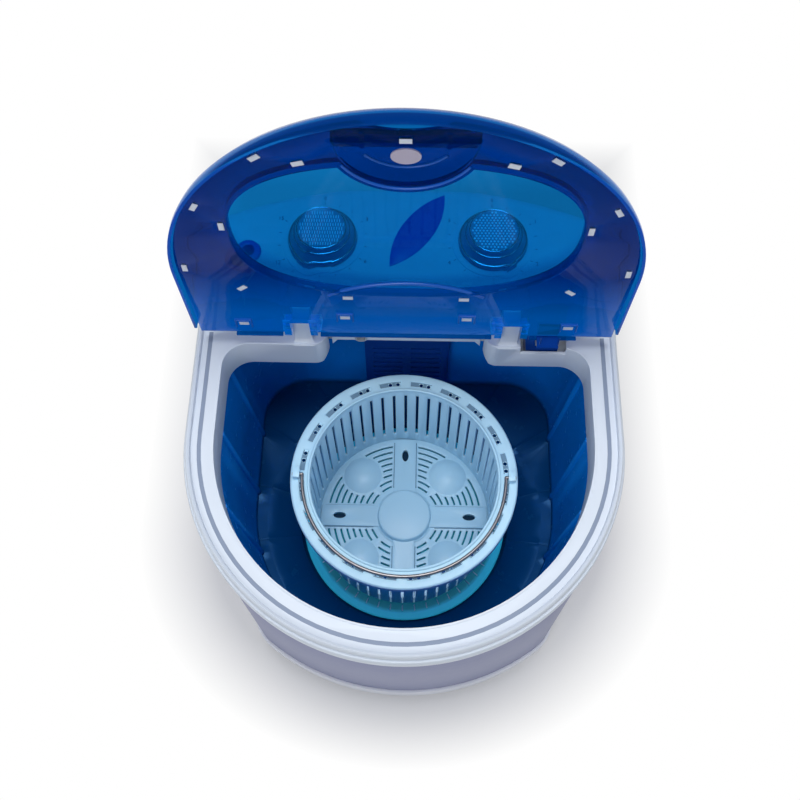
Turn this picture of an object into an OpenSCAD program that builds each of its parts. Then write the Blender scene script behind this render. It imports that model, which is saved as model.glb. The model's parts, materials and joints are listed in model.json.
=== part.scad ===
// Small top-loading washing machine with a lift-out spin basket, drawn as it comes apart on a bench.
// Units are millimetres. X runs across, Y from the front to the back and Z up.
// The origin is on the floor, in the middle of the body's width and depth. The lid is drawn standing open.

/* [Body] */
// Width of the top frame, whose front is a half circle
body_w = 370; // [364:1:380]
// Height of the frame's rim above the floor
rim_h = 500; // [490:1:540]
// Distance from the centre of the front half circle back to the hinge line
hinge_back = 96; // [94:0.5:104]
// Depth of the console behind the hinge line
console_d = 147; // [140:1:160]
// Radius of the bowed back, seen from above
back_arc_r = 420; // [400:5:600]
// Height of the console above the rim
console_h = 24; // [20:0.5:30]
// Radius of the two rear corners, seen from above
rear_corner_r = 14; // [10:1:18]
// Wall of the large mouldings
wall = 3; // [2.5:0.1:3.5]
// Gap between pieces that move past each other or drop into each other
gap = 0.5; // [0.4:0.1:0.8]

/* [Top frame] */
// Distance of the opening above the tub inside the rim's outer edge
opening_inset = 26; // [24:0.5:29]
// Radius of the opening's two rear corners
opening_corner_r = 22; // [14:1:28]
// Height of the frame's outer skirt
skirt_h = 24; // [20:1:38]
// Height of the upper step of the frame's rim
collar_drop = 11; // [9:0.5:12]
// Depth of the lid's seat below the rim
seat_drop = 6; // [5:0.5:7]
// Depth of the opening's inner wall below the rim
inner_wall_h = 40; // [36:1:44]
// Distance of the two rear shelves in front of the hinge line
shelf_front = 11.5; // [9:0.5:14]
// Width of the recess between the shelves
recess_w = 138; // [130:1:146]
// Depth of the recess behind the shelves
recess_d = 13; // [12:0.5:15]

/* [Cabinet] */
// Radius of the base's two front corners
base_corner_r = 45; // [26:1:50]
// Radius of the bowed front at the base
base_front_r = 275; // [225:1:300]
// Distance of the base's front behind the rim's front
base_setback = 38; // [20:1:44]
// Distance of the cabinet's back in front of the console's back
back_setback = 14; // [10:1:20]
// Height of the base tray
tray_h = 26; // [20:1:34]
// Height of a rubber foot below the tray
foot_h = 8; // [5:1:14]
// Radius of a rubber foot
foot_r = 15; // [10:1:18]
// Length of a side grip
grip_w = 104; // [90:1:112]
// Height of a side grip
grip_h = 26; // [22:1:30]
// Depth of a side grip's pocket
grip_depth = 13; // [10:0.5:14]

/* [Tub] */
// Depth of the floor's edge below the rim
tub_d = 200; // [190:1:206]
// Amount that the wall leans in from top to floor
tub_draft = 11; // [8:0.5:14]
// Distance of the tub's rear wall behind the front half circle's centre
tub_rear = 152; // [148:1:160]
// Radius of the tub's rear corners
tub_corner_r = 58; // [50:1:64]
// Fall of the floor from its edge to the pulsator's well
dish_d = 12; // [8:1:14]
// Depth of the pulsator's well
well_d = 16; // [15:1:20]
// Number of facets in the floor
floor_facets = 16; // [12:2:20]
// Radius of the half-round ribs on the wall
rib_r = 3.4; // [2.5:0.1:4]
// Distance between ribs along the wall
rib_pitch = 64; // [58:1:70]

/* [Spin basket] */
// Distance of the spin axis in front of the front half circle's centre
spin_forward = 7; // [2.5:0.1:9]
// Radius of the basket's rim
basket_r = 103.5; // [100:0.5:104]
// Inner radius of the basket's wall
basket_bore_r = 85.5; // [83:0.5:86.5]
// Depth of the basket's rim below the frame's rim
basket_drop = 85; // [84:0.5:90]
// Height of the basket from its floor's underside to its rim
basket_h = 124; // [122:0.5:125]
// Wall of the basket
basket_wall_t = 2; // [1.6:0.1:2.4]
// Number of slots round the basket's wall
slot_count = 48; // [36:4:52]
// Width of a slot
slot_w = 2.7; // [2:0.1:3.2]
// Number of pockets round the rim
pocket_count = 20; // [16:1:20]
// Width of the four floor spokes
spoke_w = 22; // [18:1:26]
// Radius of the hub in the middle of the floor
hub_r = 27; // [24:0.5:30]
// Height of the hub above the floor
hub_h = 7; // [6.5:0.1:9]
// Radius of a floor dome
dome_r = 19.5; // [16:0.5:20]
// Distance of a dome from the spin axis
dome_at = 62; // [58:0.5:63]
// Distance between the arc-shaped slots in the floor
arc_pitch = 6.1; // [5.6:0.1:7]
// Radius of the bail's wire
bail_wire_r = 1.5; // [1.2:0.1:1.8]
// Radius of the bail's bow
bail_r = 92.5; // [91:0.5:94]

/* [Drive] */
// Radius of the pulsator
pulsator_r = 103; // [98:0.5:106]
// Radius of the spin shaft
shaft_r = 6; // [5:0.5:7]
// Pitch radius of the large pulley
pulley_r = 62; // [56:1:66]
// Pitch radius of the motor's pulley
motor_pulley_r = 19; // [16:0.5:22]
// Distance of the motor's axis behind the spin axis
motor_back = 106; // [104:0.5:110]
// Radius of the motor's shell
motor_r = 52; // [46:1:54]
// Clearance between the motor and the drain pipe below it
motor_clear = 12; // [4:1:24]
// Radius of the capacitor's case
capacitor_r = 17; // [15:0.5:18]
// Height of the capacitor's case
capacitor_h = 56; // [48:1:60]
// Depth of the belt's middle below the rim
belt_drop = 296; // [292:1:302]

/* [Lid] */
// Distance of the lid's edge inside the rim's outer edge
lid_inset = 8; // [7.8:0.1:9]
// Wall of the lid's cover
cover_t = 2.4; // [2:0.1:3]
// Height of the closed lid's crown above the rim
lid_crown = 22; // [20:0.5:23]
// Height of the hinge axis above the rim
pin_up = 14; // [13.5:0.1:15]
// Distance of the hinge axis behind the hinge line
pin_back = 3; // [2.8:0.1:3.4]
// Radius of a hinge pin
pin_r = 2.5; // [2:0.1:3]
// Distance of a hinge post from the middle
post_at = 89; // [88:0.2:90]
// Width of a hinge post
post_w = 15; // [13:0.5:15.5]
// Radius of the finger grip in the lid's front edge
grip_r = 45; // [40:1:58]
// Length of a white clip in the lid's inner frame
lid_clip_l = 8; // [6:0.5:10]
// Width of a white clip in the lid's inner frame
lid_clip_w = 4; // [3:0.5:5]

/* [Controls] */
// Distance between the two knobs
knob_pitch = 150; // [140:1:156]
// Distance of the knobs behind the hinge line
knob_back = 79; // [74:1:84]
// Radius of a knob's skirt
knob_r = 30.5; // [28:0.5:32]
// Radius of a knob's top
knob_top_r = 22.5; // [20:0.5:25]
// Height of a knob
knob_h = 18; // [15:0.5:22]
// Radius of the printed ring round a knob
dial_r = 36; // [34:0.5:38]
// Distance of the water inlet inside the body's side
inlet_inset = 45; // [39:1:51]
// Distance of the water inlet behind the hinge line
inlet_back = 65; // [60:1:70]
// Radius of the water inlet's bore
inlet_r = 5.8; // [5:0.1:7]
// Distance of the lid switch from the middle
switch_at = 120; // [118:0.5:124]
// Length of the leaf-shaped inlay
leaf_l = 90; // [80:1:96]
// Width of the leaf-shaped inlay
leaf_w = 29; // [24:0.5:32]
// Distance of the leaf-shaped inlay's middle behind the hinge line
leaf_back = 90; // [84:1:94]

/* [Outlets] */
// Outer radius of the drain spigot
drain_r = 11; // [9:0.5:13]
// Distance of the drain spigot from the middle
drain_at = 50; // [46:1:56]
// Height of the drain spigot above the floor
drain_z = 60; // [54:1:66]
// Distance of the cord's gland inside the body's side
gland_inset = 67; // [59:1:75]
// Radius of the gland's neck
gland_r = 8; // [7:0.5:9]
// Inner radius of the pipe from the water inlet to the tub
spout_bore = 4; // [3:0.1:4.2]
// Distance of the pipe's spout from the middle
spout_at = 40; // [34:1:46]

/* [Hidden] */
$fn = 96;

// Main places
front_r = body_w / 2;
opening_r = front_r - opening_inset;
lid_r = front_r - lid_inset;
inlet_at = front_r - inlet_inset;
gland_at = front_r - gland_inset;
body_d = front_r + hinge_back + console_d;
axis_y = front_r - body_d / 2;
hinge_y = axis_y + hinge_back;
spin_y = axis_y - spin_forward;
rear_y = body_d / 2;
back_arc_y = rear_y - back_arc_r;
console_front = hinge_y + 17;

// Top frame
skirt_t = wall;
seat_r = lid_r + 0.8;
seat_z = rim_h - seat_drop;
skirt_z = rim_h - skirt_h;
wall_foot_z = rim_h - inner_wall_h;
opening_wall_t = 2.5;
shelf_y = hinge_back - shelf_front;
recess_y = shelf_y + recess_d;
recess_corner_r = 11;
recess_wall_h = 19;
chute_d = 12;
post_d = 19;
post_y = hinge_y - 7;
post_h = 30;
post_flare_r = 5;
notch_w = 40;
notch_y = hinge_y + 21;

// Distance from the origin to the cabinet's bowed back, at x across
function back_at(x) = back_arc_y + sqrt(pow(back_arc_r - back_setback, 2) - x * x);
drain_out_y = back_at(drain_at) + 1.5;

// Cabinet
tray_top = foot_h + tray_h;
cabinet_z = tray_top;
cabinet_top = skirt_z;
cabinet_side = front_r - 1;
rim_step = 2;
base_step = 3;
cut_l = 70;
base_front_y = axis_y - front_r + base_setback;
base_middle_y = base_front_y + base_front_r;
base_corner_x = cabinet_side - base_corner_r;
base_reach = base_front_r - base_corner_r;
base_corner_y = base_middle_y - sqrt(base_reach * base_reach - base_corner_x * base_corner_x);
base_turn = asin(base_corner_x / base_reach);
front_steps = 56;
corner_steps = 6;
back_steps = 20;
foot_places = [for (x = [-1, 1], y = [axis_y - 62, rear_y - 86]) [x * (cabinet_side - 42), y]];
foot_peg_r = 4;
grip_z = rim_h - 92;
grip_y0 = axis_y + 40;
gland_l = 30;
gland_in = 22;
gland_bore = 3.5;
cover_half_a = 14;
cover_z0 = 112;
cover_z1 = 312;
screw_r = 3.2;

// Tub
tub_top = wall_foot_z;
tub_floor_z = rim_h - tub_d;
tub_t = 2.5;
flange_w = 9;
tub_top_r = opening_r + 2;
tub_floor_r = tub_top_r - tub_draft;
tub_floor_rear = tub_rear - tub_draft;
tub_wall_h = tub_top - tub_floor_z;
draft_angle = atan(tub_draft / tub_wall_h);
dish_r = tub_floor_r - 4 - spin_forward;
ridge_in = 0.4;
well_r = pulsator_r + 3;
well_edge_z = tub_floor_z - dish_d;
well_z = well_edge_z - well_d;
drain_t = 2;
drain_step = 1;
sump_r = drain_r - 1;
sump_y = axis_y - 76;
sump_d = 8;
seal_r = 12;
bolt_r = 2.2;
leg_r = 5;
leg_at = 92;
leg_angles = [32, 148, 212, 328];
leg_boss_r = 8;
leg_boss_h = 8;
leg_top = well_z - tub_t - leg_boss_h;

// Spin basket
basket_rim_z = rim_h - basket_drop;
basket_floor_z = basket_rim_z - basket_h;
basket_out_r = basket_bore_r + basket_wall_t;
floor_t = 3;
rim_t = 2.5;
rim_lip = 9;
slot_top = basket_rim_z - 10;
slot_bottom = basket_floor_z + floor_t + 17;
pocket_at = 93.3;
pocket_w = 4.8;
pocket_a = 13;
arc_count = 8;
dome_ball_r = 32;
arc_first = hub_r + 8;
arc_w = 2;
arc_end_a = 4;
clip_at = bail_r + bail_wire_r + 0.6;
clip_w = 6;
bail_z = basket_rim_z + bail_wire_r + 0.3;
running = 0.05;

// Pulsator and shaft
pulsator_top = basket_floor_z - 5;
pulsator_edge = basket_floor_z - 8;
pulsator_t = 2.6;
vane_count = 6;
vane_end = pulsator_r - 32;
drive_hub_r = 11;
drive_hub_z = basket_floor_z + 5.5;
cap_h = 1.6;
socket_h = drive_hub_z + cap_h + 0.8 - basket_floor_z;
spline_count = 6;
spline_r = 1.5;
bearing_r = 14;
bearing_w = 8;
housing_h = 46;
housing_r = 21;
housing_flange_r = 40;
belt_z = rim_h - belt_drop;
belt_w = 8;
belt_t = 5;
pulley_w = 14;
plate_z = belt_z - 22;
plate_t = 3;
motor_y = spin_y + motor_back;
motor_top = plate_z - 6;
motor_bottom = drain_z + drain_r + drain_step + motor_clear;
motor_h = motor_top - motor_bottom;
capacitor_x = 72;
capacitor_y = axis_y - 20;

// Lid, in its closed place with the hinge axis as its origin
pin_y = hinge_y + pin_back;
pin_z = rim_h + pin_up;
lid_arc_y = axis_y - pin_y;
lid_skirt_z = -pin_up - seat_drop + gap;
lid_crown_z = lid_crown - pin_up;
lid_edge_z = lid_crown_z - 10;
lid_back = 3;
inner_z = -pin_up - 1.5;
inner_t = 2;
inner_r = lid_r - cover_t - gap - 0.7;
post_clear_r = 21;
post_clear_w = post_w + 3;
lug_w = 6;
lug_r = 6;
window_y = -151;
window_a = 125;
window_b = 80;
grip_y = lid_arc_y - lid_r + 21;
grip_line_y = grip_y + 7;
grip_cup_d = 9;
scallop_r = 70;
scallop_d = 9;
lid_clip_size = [lid_clip_l, lid_clip_w, 2.6];
post_clear_h = 60;
tongue_w = 18;
tongue_l = 25;
tongue_t = 3;

// Controls
panel_t = 1.2;
console_top = rim_h + console_h - panel_t;
panel_top = rim_h + console_h;
dial_t = 0.8;
knob_y = hinge_y + knob_back;
inlet_y = hinge_y + inlet_back;
timer_size = [46, 46, 22];
timer_shaft_r = 3;
leaf_x = 8.5;
leaf_half_w = leaf_w / 2;
leaf_r = (leaf_l * leaf_l / 4 + leaf_half_w * leaf_half_w) / (2 * leaf_half_w);
leaf_angle = 58;
spout_x = -spout_at;
spout_z = rim_h - 15;
spout_t = 1.5;

// Front half circle with straight sides and two rounded rear corners, seen from above
module d_outline(r, rear, corner) {
    intersection() {
        circle(r);
        translate([-r, -r]) square([2 * r, r]);
    }
    translate([-r, 0]) square([2 * r, rear - corner]);
    translate([-r + corner, 0]) square([2 * (r - corner), rear]);
    for (s = [-1, 1]) translate([s * (r - corner), rear - corner]) circle(corner);
}

// The section given as children, swept along the same outline
module d_sweep(r, rear, corner) {
    side = rear - corner;
    rotate([0, 0, 180]) rotate_extrude(angle = 180) children();
    for (s = [0, 1]) mirror([s, 0, 0]) {
        translate([0, side, 0]) rotate([90, 0, 0]) linear_extrude(side) children();
        translate([r - corner, side, 0]) rotate_extrude(angle = 90) translate([corner - r, 0]) children();
    }
    translate([corner - r, rear - r, 0]) rotate([90, 0, 90]) linear_extrude(2 * (r - corner)) children();
}

// The opening above the tub, grown by g, about the front half circle's centre
module opening_outline(g = 0) {
    half = recess_w / 2;
    fillet = recess_d;
    d_outline(opening_r + g, shelf_y + g, opening_corner_r + g);
    translate([-half - g, 0]) square([recess_w + 2 * g, recess_y - recess_corner_r]);
    translate([-half + recess_corner_r, 0]) square([recess_w - 2 * recess_corner_r, recess_y + g]);
    for (s = [-1, 1]) translate([s * (half - recess_corner_r), recess_y - recess_corner_r])
        circle(recess_corner_r + g);
    difference() {
        translate([-half - fillet, shelf_y - 1]) square([recess_w + 2 * fillet, fillet + 1]);
        for (s = [-1, 1]) translate([s * (half + fillet), shelf_y + fillet]) circle(fillet - g);
    }
}

// The space in front of the bowed back, drawn in by inset
module back_limit(inset) {
    translate([0, back_arc_y]) circle(back_arc_r - inset, $fn = 240);
}

// Direction at angle a, and the points of an arc about c from angle a0 to a1 in n steps
function dir(a) = [cos(a), sin(a)];
function arc_points(c, r, a0, a1, n) = [for (i = [0:n]) c + r * dir(a0 + (a1 - a0) * i / n)];

// Centre of the right rear corner of radius c, between a side at w and a back of radius r
function rear_centre(w, r, c) = [w - c, back_arc_y + sqrt((r - c) * (r - c) - (w - c) * (w - c))];

// The two rear corners and the bowed back between them, from right to left
function rear_points(w, r, c) =
    let (p = rear_centre(w, r, c), a = atan2(p[1] - back_arc_y, p[0]), turn = (180 - 2 * a) / back_steps)
    concat(
        arc_points(p, c, 0, a, corner_steps),
        [for (i = [1:back_steps - 1]) [0, back_arc_y] + r * dir(a + i * turn)],
        arc_points([-p[0], p[1]], c, 180 - a, 180, corner_steps)
    );

// The cabinet seen from above at the rim, drawn in by inset
function rim_points(inset) = concat(
    arc_points([0, axis_y], front_r - inset, 180, 360, front_steps),
    rear_points(front_r - inset, back_arc_r - back_setback - inset, rear_corner_r - inset)
);

// Front of the base where its outline faces the direction t: a wide arc between two rounded corners
function base_front(inset, t) = abs(t - 270) < base_turn
    ? [0, base_middle_y] + (base_front_r - inset) * dir(t)
    : [sign(t - 270) * base_corner_x, base_corner_y] + (base_corner_r - inset) * dir(t);

// The body seen from above at the base, drawn in by inset
function base_points(inset) = concat(
    [for (i = [0:front_steps]) base_front(inset, 180 + 180 * i / front_steps)],
    rear_points(cabinet_side - inset, back_arc_r - back_setback - inset, rear_corner_r - inset)
);

// Wall between rings of equal count, each given as its points and its height, in a closed loop
module ring_wall(rings) {
    n = len(rings[0][0]);
    count = len(rings);
    polyhedron(
        points = [for (ring = rings, q = ring[0]) [q[0], q[1], ring[1]]],
        faces = [
            for (k = [0:count - 1], i = [0:n - 1], half = [0, 1])
                let (a = k * n, b = ((k + 1) % count) * n, j = (i + 1) % n)
                half == 0 ? [a + i, b + i, b + j] : [a + i, b + j, a + j]
        ]
    );
}

module rubber_feet() {
    color("dimgray") for (p = foot_places) translate([p[0], p[1], 0]) {
        cylinder(h = foot_h, r1 = foot_r - 2, r2 = foot_r);
        translate([0, 0, foot_h]) cylinder(h = wall + 2, r = foot_peg_r);
    }
}

module base_tray() {
    color("whitesmoke") difference() {
        translate([0, 0, foot_h]) linear_extrude(tray_h) polygon(base_points(0));
        translate([0, 0, foot_h + wall]) linear_extrude(tray_h) polygon(base_points(wall));
        for (p = foot_places) translate([p[0], p[1], foot_h - 1]) cylinder(h = wall + 2, r = foot_peg_r);
        for (x = [-60:12:60]) translate([x - 2.5, axis_y - 10, foot_h - 1]) cube([5, 90, wall + 2]);
    }
}

// A piece of the bowed back between two radii and two heights
module back_sector(r0, r1, half_a, z0, z1) {
    translate([0, back_arc_y, 0]) rotate([0, 0, 90 - half_a]) rotate_extrude(angle = 2 * half_a, $fn = 240)
        translate([r0, z0]) square([r1 - r0, z1 - z0]);
}

// Tapered shell between the base and the rim
module cabinet() {
    color("lavender") difference() {
        ring_wall([
            [base_points(base_step), cabinet_z], [rim_points(rim_step), cabinet_top],
            [rim_points(rim_step + wall), cabinet_top], [base_points(base_step + wall), cabinet_z]
        ]);
        for (s = [-1, 1]) translate([s * front_r - cut_l / 2, grip_y0, grip_z])
            cube([cut_l, grip_w, grip_h]);
        back_sector(back_arc_r - 40, back_arc_r, cover_half_a - 1.2, cover_z0 + 8, cover_z1 - 8);
        translate([-drain_at, rear_y - cut_l, drain_z]) rotate([-90, 0, 0])
            cylinder(h = cut_l, r = drain_r + drain_step + 0.3);
        translate([gland_at, rear_y - cut_l, drain_z]) rotate([-90, 0, 0]) cylinder(h = cut_l, r = gland_r);
        cover_screw_places(-6) cylinder(h = 12, r = 1.7, $fn = 16);
    }
}

module side_grips() {
    color("lightsteelblue") for (s = [0, 1]) mirror([s, 0, 0])
        translate([cabinet_side - 4.5, grip_y0 + grip_w / 2, grip_z + grip_h / 2]) difference() {
            translate([-grip_depth, -grip_w / 2 + gap, -grip_h / 2 + gap])
                cube([grip_depth + 2, grip_w - 2 * gap, grip_h - 2 * gap]);
            translate([-grip_depth + 2, -grip_w / 2 + 2.5, -grip_h / 2 + 2.5])
                cube([grip_depth + 2, grip_w - 5, grip_h - 5]);
        }
}

// Children at the four screws of the service cover, pointing out of its corners
module cover_screw_places(out) {
    for (a = [-1, 1], z = [cover_z0 + 7, cover_z1 - 7])
        translate([0, back_arc_y, z]) rotate([0, 0, a * (cover_half_a - 0.6)])
            translate([0, back_arc_r - back_setback + out, 0]) rotate([-90, 0, 0]) children();
}

module service_cover() {
    r0 = back_arc_r - back_setback + 0.3;
    color("gainsboro") difference() {
        back_sector(r0, r0 + 2.4, cover_half_a, cover_z0, cover_z1);
        for (i = [0:9]) back_sector(r0 - 2, r0 + 6, 7.5, cover_z1 - 36 - 9 * i, cover_z1 - 32 - 9 * i);
        cover_screw_places(-4) cylinder(h = 12, r = 1.8);
    }
}

module cover_screws() {
    color("silver") cover_screw_places(-2.7) {
        cylinder(h = 6, r = 1.7, $fn = 16);
        translate([0, 0, 5.6]) cylinder(h = 2, r1 = screw_r, r2 = screw_r - 1);
    }
}

// Section of the frame's rim, a skirt with a rolled step above it, from the skirt to the lid's seat
module rim_section() {
    step_z = rim_h - collar_drop;
    polygon([
        [front_r, skirt_z], [front_r, step_z - 0.8], [front_r - 0.8, step_z + 0.4],
        [front_r - 2.4, step_z + 0.2], [front_r - 2.6, rim_h - 4], [front_r - 3.2, rim_h - 1.4],
        [front_r - 4.4, rim_h], [seat_r + 0.6, rim_h - 1.6], [seat_r, seat_z],
        [opening_r + 8, seat_z], [opening_r + 8, seat_z - wall], [front_r - 9, seat_z - wall],
        [front_r - 4.5, seat_z - 5], [front_r - skirt_t, seat_z - 9], [front_r - skirt_t, skirt_z]
    ]);
}

// Section of the flare round the foot of a hinge post
module flare_section() {
    polygon(concat([[-0.5, 0], [post_flare_r, 0]], arc_points(
        [post_flare_r, post_flare_r + 0.5], post_flare_r, 270, 180, 6), [[-0.5, post_flare_r + 0.5]]));
}

module post_flare() {
    half = post_w / 2;
    for (s = [0, 1]) mirror([s, 0, 0]) {
        translate([half, post_d, 0]) rotate([90, 0, 0]) linear_extrude(post_d) flare_section();
        translate([half, 0, 0]) rotate([0, 0, -90]) rotate_extrude(angle = 90) flare_corner();
        translate([half, post_d, 0]) rotate_extrude(angle = 90) flare_corner();
    }
    translate([-half, 0, 0]) rotate([90, 0, 90]) linear_extrude(post_w) mirror([1, 0]) flare_section();
    translate([-half, post_d, 0]) rotate([90, 0, 90]) linear_extrude(post_w) flare_section();
}

// The part of the flare's section that is outside the post
module flare_corner() {
    intersection() {
        flare_section();
        square(2 * post_flare_r);
    }
}

module hinge_post() {
    post_flare();
    translate([-post_w / 2, 0, 0]) rotate([90, 0, 90]) linear_extrude(post_w) {
        square([post_d, post_h - 4 + seat_drop]);
        translate([4, 0]) square([post_d - 8, post_h + seat_drop]);
        for (y = [4, post_d - 4]) translate([y, post_h - 4 + seat_drop]) circle(4, $fn = 32);
    }
}

module frame_mouldings() {
    side_l = console_front - axis_y;
    translate([0, axis_y, 0]) {
        rotate([0, 0, 180]) rotate_extrude(angle = 180) rim_section();
        for (s = [0, 1]) mirror([s, 0, 0]) translate([0, side_l, 0]) rotate([90, 0, 0])
            linear_extrude(side_l) rim_section();
        translate([0, 0, seat_z - wall]) linear_extrude(wall) difference() {
            union() {
                circle(opening_r + 12);
                translate([-front_r + 9, 0]) square([body_w - 18, side_l]);
            }
            opening_outline(0);
            translate([-body_w, side_l]) square([2 * body_w, body_w]);
        }
        translate([0, 0, seat_z]) linear_extrude(1.2) difference() {
            opening_outline(1.6);
            opening_outline(0);
        }
        translate([0, 0, wall_foot_z]) linear_extrude(seat_z - wall_foot_z) difference() {
            opening_outline(opening_wall_t);
            opening_outline(0);
        }
        translate([0, 0, wall_foot_z]) linear_extrude(wall) difference() {
            intersection() {
                d_outline(tub_top_r + flange_w, tub_rear + flange_w, tub_corner_r + flange_w);
                translate([-body_w, shelf_y - 20]) square([2 * body_w, body_d]);
            }
            opening_outline(0);
        }
        translate([-recess_w / 2 - 4, recess_y + opening_wall_t - 1, 0]) rotate([90, 0, 90])
            linear_extrude(recess_w + 8) polygon([
                [0, rim_h - recess_wall_h], [opening_wall_t, rim_h - recess_wall_h],
                [opening_wall_t + chute_d, wall_foot_z], [chute_d, wall_foot_z]
            ]);
    }
    for (s = [-1, 1]) translate([s * post_at, post_y, seat_z - 0.5]) hinge_post();
}

module top_frame() {
    half = recess_w / 2;
    color("white") difference() {
        frame_mouldings();
        translate([0, axis_y + shelf_y + 2, 0]) rotate([-90, 0, 0]) linear_extrude(recess_d - 2 + chute_d)
            polygon([
                [-half + 8, recess_wall_h - rim_h], [half - 8, recess_wall_h - rim_h],
                [half + 6, 1 - wall_foot_z], [-half - 6, 1 - wall_foot_z]
            ]);
        for (s = [-1, 1]) translate([s * post_at - 20, pin_y, pin_z]) rotate([0, 90, 0])
            cylinder(h = 40, r = pin_r, $fn = 48);
        translate([switch_at - notch_w / 2, axis_y + shelf_y - 1, seat_z - wall - 1])
            cube([notch_w, notch_y - axis_y - shelf_y + 1, wall + 4]);
        translate([switch_at - notch_w / 2, axis_y + shelf_y - 1, seat_z - 9])
            cube([notch_w, opening_wall_t + 2, 12]);
        translate([spout_x, axis_y + recess_y - 3, spout_z]) rotate([-90, 0, 0])
            cylinder(h = 14, r = spout_bore + spout_t + 0.3);
    }
}

// The console seen from above, drawn in by inset. Its bowed back is left to what it is cut from.
module console_plan(inset) {
    w = front_r - inset;
    c = rear_corner_r - inset;
    p = rear_centre(w, back_arc_r - inset, c);
    a = atan2(p[1] - back_arc_y, p[0]);
    past = [p + (c + 0.5) * dir(a), p + 3 * c * dir(a)];
    corner = concat([for (i = [0:corner_steps - 1]) p + c * dir(a * i / corner_steps)], past);
    polygon(concat(
        [[-w, console_front + inset], [w, console_front + inset]], corner,
        [for (i = [len(corner) - 1:-1:0]) [-corner[i][0], corner[i][1]]]
    ));
}

// Console between the frame and the bowed back, drawn in by inset
module console_solid(inset) {
    r1 = back_arc_r - inset;
    top = console_top - inset;
    intersection() {
        translate([0, back_arc_y, 0]) rotate([0, 0, 30]) rotate_extrude(angle = 120, $fn = 240) polygon([
            [r1 - 165, skirt_z - inset * 2], [r1, skirt_z - inset * 2], [r1, rim_h - 4],
            [r1 - 1.5, rim_h + 5], [r1 - 5, rim_h + 14], [r1 - 9, top - 1.5], [r1 - 12, top],
            [r1 - 165, top]
        ]);
        linear_extrude(2 * rim_h) console_plan(inset);
    }
}

module console_housing() {
    side_x = front_r - 14;
    color("ghostwhite") difference() {
        union() {
            difference() {
                console_solid(0);
                console_solid(wall);
            }
            intersection() {
                back_sector(back_arc_r - 165, back_arc_r - 1, 30, skirt_z, skirt_z + wall);
                translate([0, 0, skirt_z]) linear_extrude(wall) difference() {
                    console_plan(1);
                    polygon(rim_points(rim_step + wall));
                }
            }
        }
        for (s = [0, 1]) mirror([s, 0, 0]) translate([front_r - 7, console_front - 1, console_top])
            rotate([0, 45, 0]) cube([30, body_d, 12]);
        for (x = [-1, 1]) translate([x * knob_pitch / 2, knob_y, console_top - 10]) cylinder(h = 20, r = 5);
        translate([-inlet_at, inlet_y, console_top - 10]) cylinder(h = 20, r = inlet_r + 2.6 + gap / 2);
        translate([switch_at - notch_w / 2, console_front - 1, skirt_z - 10])
            cube([notch_w, notch_y - console_front + 1, rim_h - skirt_z + 30]);
        translate([spout_x, console_front - 1, spout_z]) rotate([-90, 0, 0])
            cylinder(h = wall + 2, r = spout_bore + spout_t + 0.3);
        translate([-side_x, console_front - 1, skirt_z - 1])
            cube([2 * side_x, wall + 2, seat_z - wall - skirt_z + 1]);
    }
}

module control_panel() {
    color("lightcyan") translate([0, 0, console_top]) linear_extrude(panel_t) difference() {
        intersection() {
            back_limit(15);
            translate([-front_r + 13, console_front + 6]) square([body_w - 26, body_d]);
        }
        for (x = [-1, 1]) translate([x * knob_pitch / 2, knob_y]) circle(5);
        translate([-inlet_at, inlet_y]) circle(inlet_r + 2.6 + gap / 2);
    }
}

module leaf_inlay() {
    color("navy") translate([leaf_x, hinge_y + leaf_back, panel_top]) rotate([0, 0, leaf_angle])
        linear_extrude(0.6) intersection_for (s = [-1, 1])
            translate([0, s * (leaf_r - leaf_half_w)]) circle(leaf_r);
}

module dial(x) {
    translate([x, knob_y, panel_top]) linear_extrude(dial_t) difference() {
        circle(dial_r);
        circle(knob_r - 1.5);
    }
}

module wash_dial() {
    color("steelblue") dial(-knob_pitch / 2);
}

module spin_dial() {
    color("steelblue") dial(knob_pitch / 2);
}

// Clockwork timer under the console, with its threaded nose in the console's hole
module timer(x) {
    translate([x, knob_y, 0]) difference() {
        union() {
            translate([-timer_size[0] / 2, -timer_size[1] / 2, console_top - wall - 2 - timer_size[2]])
                cube(timer_size);
            translate([0, 0, console_top - wall - 2]) cylinder(h = 2, r = 16);
            translate([0, 0, console_top - wall]) cylinder(h = wall + panel_t + 2, r = 5 - gap / 2);
        }
        translate([0, 0, console_top - wall - 20]) cylinder(h = 60, r = timer_shaft_r + running, $fn = 48);
    }
}

module wash_timer() {
    color("dimgray") timer(-knob_pitch / 2);
}

module spin_timer() {
    color("dimgray") timer(knob_pitch / 2);
}

module timer_shaft(x) {
    translate([x, knob_y, console_top - wall - 19.7])
        cylinder(h = wall + 19.7 + panel_t + knob_h - 5, r = timer_shaft_r, $fn = 48);
}

module wash_timer_shaft() {
    color("silver") timer_shaft(-knob_pitch / 2);
}

module spin_timer_shaft() {
    color("silver") timer_shaft(knob_pitch / 2);
}

// Round knob with a flared skirt, a flat textured top and a pointer notch
module knob(x) {
    base = dial_t + 0.5;
    translate([x, knob_y, panel_top]) difference() {
        rotate_extrude() polygon([
            [0, base + 3], [knob_r - 3, base + 3], [knob_r - 1.5, base], [knob_r, base],
            [knob_r, base + 2.5], [knob_r - 2.2, base + 5], [knob_top_r + 3.2, base + 10],
            [knob_top_r + 1, knob_h - 3], [knob_top_r, knob_h - 0.8], [knob_top_r - 1.2, knob_h],
            [knob_top_r - 2.6, knob_h - 0.6], [0, knob_h - 0.6]
        ]);
        translate([0, 0, -1]) cylinder(h = knob_h - 3, r = timer_shaft_r, $fn = 48);
        translate([-0.9, knob_r - 9, base + 3.5]) cube([1.8, 12, 6]);
    }
}

module wash_knob() {
    color("deepskyblue") knob(-knob_pitch / 2);
}

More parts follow.
